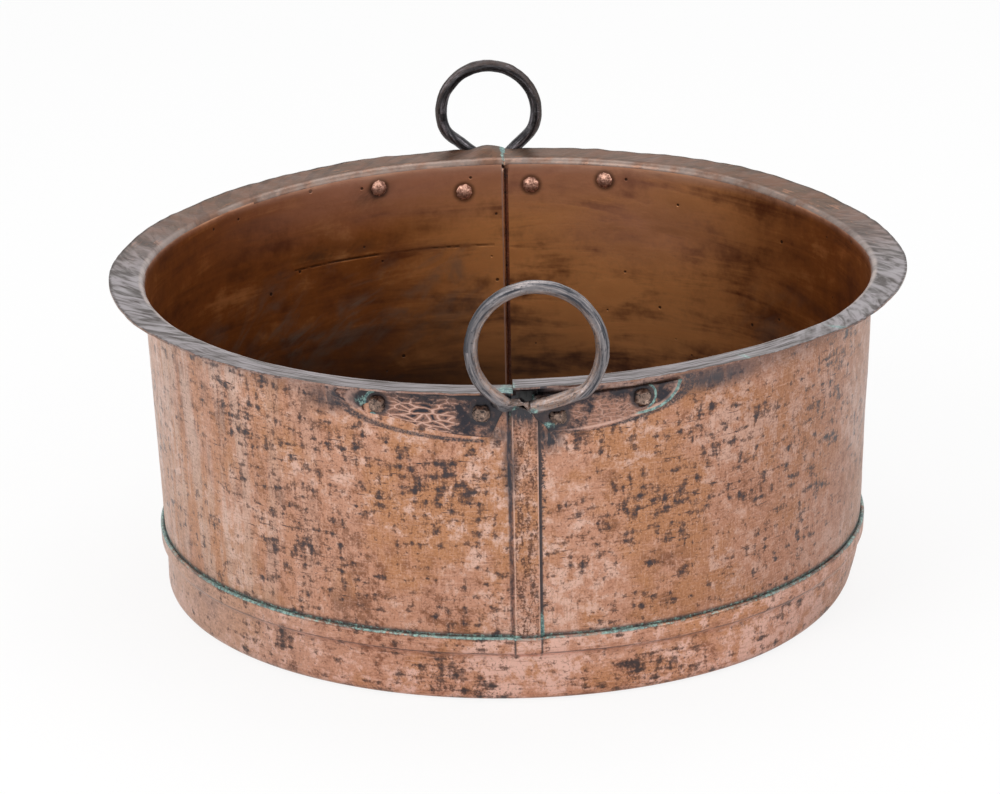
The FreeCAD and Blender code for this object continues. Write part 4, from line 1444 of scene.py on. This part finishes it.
@dataclass(frozen=True)
class ForgedCopper:
    """Forged ring and leaves: the ring drawn out lengthwise, the leaves chased with long lens marks, with
    painted shade round the rivets, on the leaf tops under the rim, near the legs' feet and between the legs,
    and a painted highlight along the leaves' lower edges.
    """

    name: str
    side: Face
    ring_middle_place: Tuple[float, float, float]
    ring_warm_from: float
    rivets: Tuple[Point2, ...]
    ring_dark: Colour = tone(58, 60, 66)
    ring_middle: Colour = tone(120, 116, 118)
    ring_pale: Colour = tone(170, 160, 158)
    ring_warm: Colour = tone(160, 128, 108)
    slate: Colour = tone(54, 52, 58)
    umber: Colour = tone(90, 72, 68)
    copper: Colour = tone(166, 124, 106)
    vein: Colour = tone(214, 174, 158)
    # Near-black colour of the painted shade between the legs.
    deep_shade: Colour = tone(26, 24, 28)
    dusk: Colour = tone(44, 42, 48)
    worn: Tuple[Patch, ...] = (
        Patch(-0.090, 0.237, 0.062, 0.028, 1.3),
        Patch(0.068, 0.236, 0.056, 0.024, 1.0),
    )
    chased: Tuple[Patch, ...] = (Patch(-0.075, 0.240, 0.046, 0.030, 1.6),)
    shade_between_legs: Patch = Patch(-0.0027, 0.2630, 0.0110, 0.0120, 1.5)
    blots: Tuple[Patch, ...] = (
        Patch(-0.1240, 0.2480, 0.0130, 0.0130, 0.82),
        Patch(-0.0080, 0.2560, 0.0070, 0.0100, 0.90),
        Patch(0.0040, 0.2560, 0.0085, 0.0130, 0.90),
        Patch(0.0160, 0.2330, 0.0160, 0.0080, 0.90),
    )
    rivet_ring: float = 0.0135

    def crust_places(self, finish: Finish) -> Wire:
        """Mask of where verdigris grows: beside the outer rivets, the leg ends and the leaf's end."""
        around = finish.around
        first, last = self.rivets[0], self.rivets[3]
        left = finish.outline(first, (0.0098, 0.0098), 0.22) * around.ramp(first[0] + 0.002, first[0] - 0.003)
        right = finish.outline(last, (0.0105, 0.0105), 0.16) * around.ramp(last[0] + 0.001, last[0] + 0.006)
        end = finish.outline((0.086, 0.262), (0.0325, 0.0260), 0.09) * around.ramp(0.070, 0.090)
        return finish.recipe.most(finish.patches(self.blots), left, right, end)

    def ring(self, finish: Finish, grain: Wire) -> Wire:
        """Colour of the ring and its legs, streaked along the bar."""
        recipe = finish.recipe
        offset = recipe.parts(recipe.vector("SUBTRACT", finish.place, self.ring_middle_place))
        arc = recipe.math("ARCTAN2", offset[2], offset[0]) * 0.048
        out = recipe.math("SQRT", offset[0] * offset[0] + offset[2] * offset[2])
        streak = recipe.noise(recipe.combine(arc * 32.0, out * 420.0, offset[1] * 420.0), 1.0, 3.0, 0.65)
        colour = recipe.mix(streak.ramp(0.38, 0.52), self.ring_dark, self.ring_middle)
        colour = recipe.mix(streak.ramp(0.54, 0.68, 0.0, 0.9), colour, self.ring_pale)
        inner = out.ramp(self.ring_warm_from, 0.0445, 0.0, 0.65)
        colour = recipe.mix(inner * grain.ramp(0.40, 0.60, 0.3, 1.0), colour, self.ring_warm)
        cool = arc.ramp(0.08, 0.13) * out.ramp(0.0480, 0.0540, 0.0, 0.75)
        colour = recipe.mix(cool, colour, self.ring_dark)
        return recipe.mix(grain.ramp(0.57, 0.70, 0.0, 0.85), colour, self.ring_dark)

    def leaf(self, finish: Finish, grain: Wire) -> Wire:
        """Colour of the leaf plates: copper worn through the dark, chased with lens-shaped dishes."""
        recipe = finish.recipe
        bent = recipe.add("ShaderNodeTexNoise", {"Vector": finish.wrap, "Scale": 70.0})["Color"]
        pushed = recipe.vector("MULTIPLY_ADD", bent, (0.012, 0.0045, 0.0), finish.wrap)
        cells = recipe.add("ShaderNodeTexVoronoi",
                           {"Vector": recipe.mapped(pushed, (0.30, 1.0, 1.0)), "Scale": 270.0},
                           feature="DISTANCE_TO_EDGE", voronoi_dimensions="2D")["Distance"]
        cloud = recipe.noise(finish.wrap, 60.0, 5.0, 0.7)
        warmth = finish.patches(self.worn) * 0.22 + cloud
        colour = recipe.mix(warmth.ramp(0.46, 0.62), self.slate, self.umber)
        colour = recipe.mix(warmth.ramp(0.52, 0.66) * grain.ramp(0.38, 0.56, 0.3, 1.0), colour, self.copper)
        chased = finish.patches(self.chased)
        lens = cells.ramp(0.12, 0.40) * chased * cloud.ramp(0.40, 0.54, 0.2, 0.85)
        colour = recipe.mix(lens, colour, self.slate)
        net = cells.ramp(0.12, 0.02) * warmth.ramp(0.50, 0.68, 0.0, 0.9) * chased.ramp(0.0, 0.5, 0.45, 1.0)
        colour = recipe.mix(net, colour, self.vein)
        # Painted highlight: a pale line along the bevel of the leaves' lower edges.
        edge_highlight = finish.leaf_edge(0.955, 0.05) * cloud.ramp(0.36, 0.56, 0.25, 0.8)
        return recipe.mix(edge_highlight, colour, self.vein)

    def make(self, effects: Effects) -> bpy.types.Material:
        """Make the material from the shared groups."""
        finish = Finish(self.name, effects, math.radians(self.side.value))
        recipe = finish.recipe
        grain = recipe.noise(finish.place, 420.0, 4.0, 0.7)
        on_ring = recipe.most(finish.radius.ramp(0.3030, 0.3080), finish.height.ramp(0.268, 0.274))
        colour = recipe.mix(on_ring, self.leaf(finish, grain), self.ring(finish, grain))
        # Painted shade round the rivets, on the leaf tops under the rim and near the legs' feet, kept off the
        # ring.
        rings = [Patch(*rivet, self.rivet_ring, self.rivet_ring) for rivet in self.rivets]
        rings.append(Patch(self.rivets[0][0] - 0.010, self.rivets[0][1] + 0.003, 0.026, 0.013, 0.30))
        shadow = finish.patches(rings).ramp(0.0, 0.34)
        top = (grain * 0.012 + finish.height).ramp(0.256, 0.266)
        heel = recipe.math("ABSOLUTE", finish.around).ramp(0.036, 0.018)
        deep_shade = recipe.most(shadow, top, heel) * recipe.rest_of(1.0, on_ring)
        colour = recipe.mix(deep_shade * 0.86, colour, self.dusk)
        # Painted shade: near black in the space between the legs' ends.
        gap_shade = finish.patches([self.shade_between_legs]) * finish.radius.ramp(0.336, 0.330)
        colour = recipe.mix(gap_shade, colour, self.deep_shade)
        colour, crust = finish.crusted(colour, self.crust_places(finish))
        metal = recipe.rest_of(0.82, recipe.most(deep_shade * 0.5, crust))
        return finish.surface(colour, metal, grain.ramp(0.40, 0.62, 0.36, 0.52), grain, 0.5, 0.0009)


@dataclass(frozen=True)
class RivetCopper:
    """Rivets: rough tan heads outside, smooth brown domes inside."""

    name: str = "rivet_copper"
    dark: Colour = tone(56, 50, 50)
    tan: Colour = tone(134, 112, 100)
    pale: Colour = tone(192, 164, 146)
    inside: Colour = tone(208, 162, 142)
    inside_dark: Colour = tone(126, 88, 74)

    def make(self, effects: Effects) -> bpy.types.Material:
        """Make the material from the shared groups."""
        finish = Finish(self.name, effects)
        recipe = finish.recipe
        rough = recipe.noise(finish.place, 330.0, 4.0, 0.7)
        head = recipe.mix(rough.ramp(0.38, 0.52), self.dark, self.tan)
        head = recipe.mix(rough.ramp(0.56, 0.68), head, self.pale)
        dome = recipe.mix(rough.ramp(0.38, 0.60), self.inside_dark, self.inside)
        colour = recipe.mix(finish.radius.ramp(0.2945, 0.2965), dome, head)
        return finish.surface(colour, 0.8, rough.ramp(0.35, 0.65, 0.55, 0.38), rough, 0.6, 0.0008)


@dataclass(frozen=True)
class Studio:
    """Plain pale floor, soft lights and the camera at the photograph's angle."""

    camera_place: Tuple[float, float, float] = (0.0, -3.7148, 1.4555)
    look_down: float = math.radians(19.3486)
    roll: float = math.radians(-1.0662)
    lens: float = 171.89
    sensor: float = 36.0
    shift_x: float = -0.0102
    floor_size: float = 30.0
    floor_seen: float = 0.85
    floor_mirrored: float = 0.15
    world_level: float = 0.62

    def camera(self) -> None:
        """Add the camera."""
        ahead = Vector((0.0, math.cos(self.look_down), -math.sin(self.look_down)))
        right = Vector((1.0, 0.0, 0.0))
        up = right.cross(ahead)
        turned_right = right * math.cos(self.roll) + up * math.sin(self.roll)
        turned_up = up * math.cos(self.roll) - right * math.sin(self.roll)
        data = bpy.data.cameras.new("camera")
        data.lens = self.lens
        data.sensor_width = self.sensor
        data.shift_x = self.shift_x
        item = bpy.data.objects.new("camera", data)
        bpy.context.scene.collection.objects.link(item)
        axes = Matrix((turned_right, turned_up, -ahead)).transposed().to_4x4()
        item.matrix_world = Matrix.Translation(self.camera_place) @ axes
        bpy.context.scene.camera = item

    def soft_light(self, name: str, place: Tuple[float, float, float], width: float, power: float) -> None:
        """Add a large square lamp that faces the pot."""
        data = bpy.data.lights.new(name, "AREA")
        data.shape = "SQUARE"
        data.size = width
        data.energy = power
        item = bpy.data.objects.new(name, data)
        bpy.context.scene.collection.objects.link(item)
        item.location = place
        item.rotation_euler = (Vector((0.0, 0.0, 0.13)) - Vector(place)).to_track_quat("-Z", "Y").to_euler()

    def seen(self, recipe: Recipe, camera: float, mirrored: float) -> Wire:
        """Shares of white for what the camera sees, and for what a reflection or a clear part shows."""
        path = recipe.add("ShaderNodeLightPath", {})
        indirect = recipe.most(path["Is Glossy Ray"], path["Is Transmission Ray"])
        return recipe.most(path["Is Camera Ray"] * camera, indirect * mirrored)

    def world(self) -> None:
        """White where it is seen, and a plain soft level of light elsewhere."""
        world = bpy.data.worlds.new("studio")
        world.use_nodes = True
        recipe = Recipe(world.node_tree)
        background = world.node_tree.nodes["Background"]
        background.inputs["Color"].default_value = (1.0, 1.0, 1.0, 1.0)
        level = self.seen(recipe, 1.0, 1.0) * (1.0 - self.world_level) + self.world_level
        recipe.feed(background.inputs["Strength"], level)
        bpy.context.scene.world = world

    def floor(self) -> None:
        """Add the pale floor, nearly white where it is seen."""
        Workpiece.clear()
        bpy.ops.mesh.primitive_plane_add(size=self.floor_size)
        item = bpy.context.object
        item.name = "floor"
        material = bpy.data.materials.new("floor")
        material.use_nodes = True
        nodes = material.node_tree.nodes
        nodes["Principled BSDF"].inputs["Base Color"].default_value = (0.9, 0.9, 0.9, 1.0)
        nodes["Principled BSDF"].inputs["Roughness"].default_value = 0.9
        recipe = Recipe(material.node_tree)
        lit = Wire(recipe, nodes["Principled BSDF"].outputs[0])
        white = recipe.add("ShaderNodeEmission", {})[0]
        share = self.seen(recipe, self.floor_seen, self.floor_mirrored)
        blend = recipe.add("ShaderNodeMixShader", {0: share, 1: lit, 2: white})
        recipe.feed(nodes["Material Output"].inputs["Surface"], blend[0])
        item.data.materials.append(material)

    def build(self) -> None:
        """Set up the whole studio."""
        bpy.context.scene.view_settings.view_transform = "Standard"
        self.camera()
        self.world()
        self.floor()
        self.soft_light("key", (-2.2, -2.4, 2.6), 2.0, 60.0)
        self.soft_light("fill", (2.6, -1.8, 1.6), 2.4, 28.0)
        self.soft_light("top", (0.3, 0.8, 3.2), 2.2, 30.0)


def forged_finishes() -> Tuple[ForgedCopper, ForgedCopper]:
    """The front handle's finish and the back handle's darker one."""
    front = ForgedCopper("forged_front", Face.FRONT, (0.0204, -0.332, 0.3047), 0.0500,
                         ((-0.1107, 0.2473), (-0.0322, 0.2445), (0.0236, 0.2395), (0.0876, 0.2491)))
    back = ForgedCopper("forged_back", Face.BACK, (-0.0144, 0.332, 0.3010), 0.0425,
                        ((-0.0961, 0.2508), (-0.0322, 0.2445), (0.0252, 0.2395), (0.1001, 0.2500)),
                        ring_dark=tone(38, 37, 40), ring_middle=tone(70, 68, 70),
                        ring_pale=tone(138, 132, 138), ring_warm=tone(84, 70, 64))
    return front, back


def main() -> None:
    """Build the studio and every piece of the pot."""
    logging.basicConfig(level=logging.INFO, format="%(name)s %(message)s")
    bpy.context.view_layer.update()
    sizes = PotSizes()
    effects = Effects(sizes)
    textures = {
        "dents": new_texture("dents", "CLOUDS", noise_scale=0.085, noise_depth=2),
        "planishing": new_texture("planishing", "VORONOI", noise_scale=0.016,
                                  distance_metric="DISTANCE_SQUARED"),
        "forging": new_texture("forging", "CLOUDS", noise_scale=0.011, noise_depth=1),
        "heads": new_texture("heads", "CLOUDS", noise_scale=0.004, noise_depth=1),
    }
    sheet = [WallCopper().make(effects), InsideCopper().make(effects), RimCopper().make(effects)]
    pan = [PanCopper().make(effects), FloorCopper().make(effects)]
    forged_front, forged_back = (finish.make(effects) for finish in forged_finishes())
    rivet = RivetCopper().make(effects)
    WallSheet(sizes, "wall_right", "wall_sheet_right", Face.FRONT).build(sheet, textures)
    WallSheet(sizes, "wall_left", "wall_sheet_left", Face.BACK).build(sheet, textures)
    BasePan(sizes).build(pan, textures)
    ends = (BluntEnd((-0.002, -0.332, 0.2595), (0.84, 0.0, -0.54), 0.0075, 0.0085),
            BluntEnd((0.0187, -0.332, 0.2590), (-0.97, 0.0, -0.20), 0.0065, 0.0070))
    RingHandle("ring_front", "handle_front", ends).build(forged_front, textures)
    RingHandle("ring_back", "handle_back").build(forged_back, textures)
    RivetRow("rivet_heads_front", "rivets_front", (math.radians(6.9), 0.2395)).build(rivet, textures)
    RivetRow("rivet_heads_back", "rivets_back").build(rivet, textures)
    Studio().build()


if __name__ == "__main__":
    main()
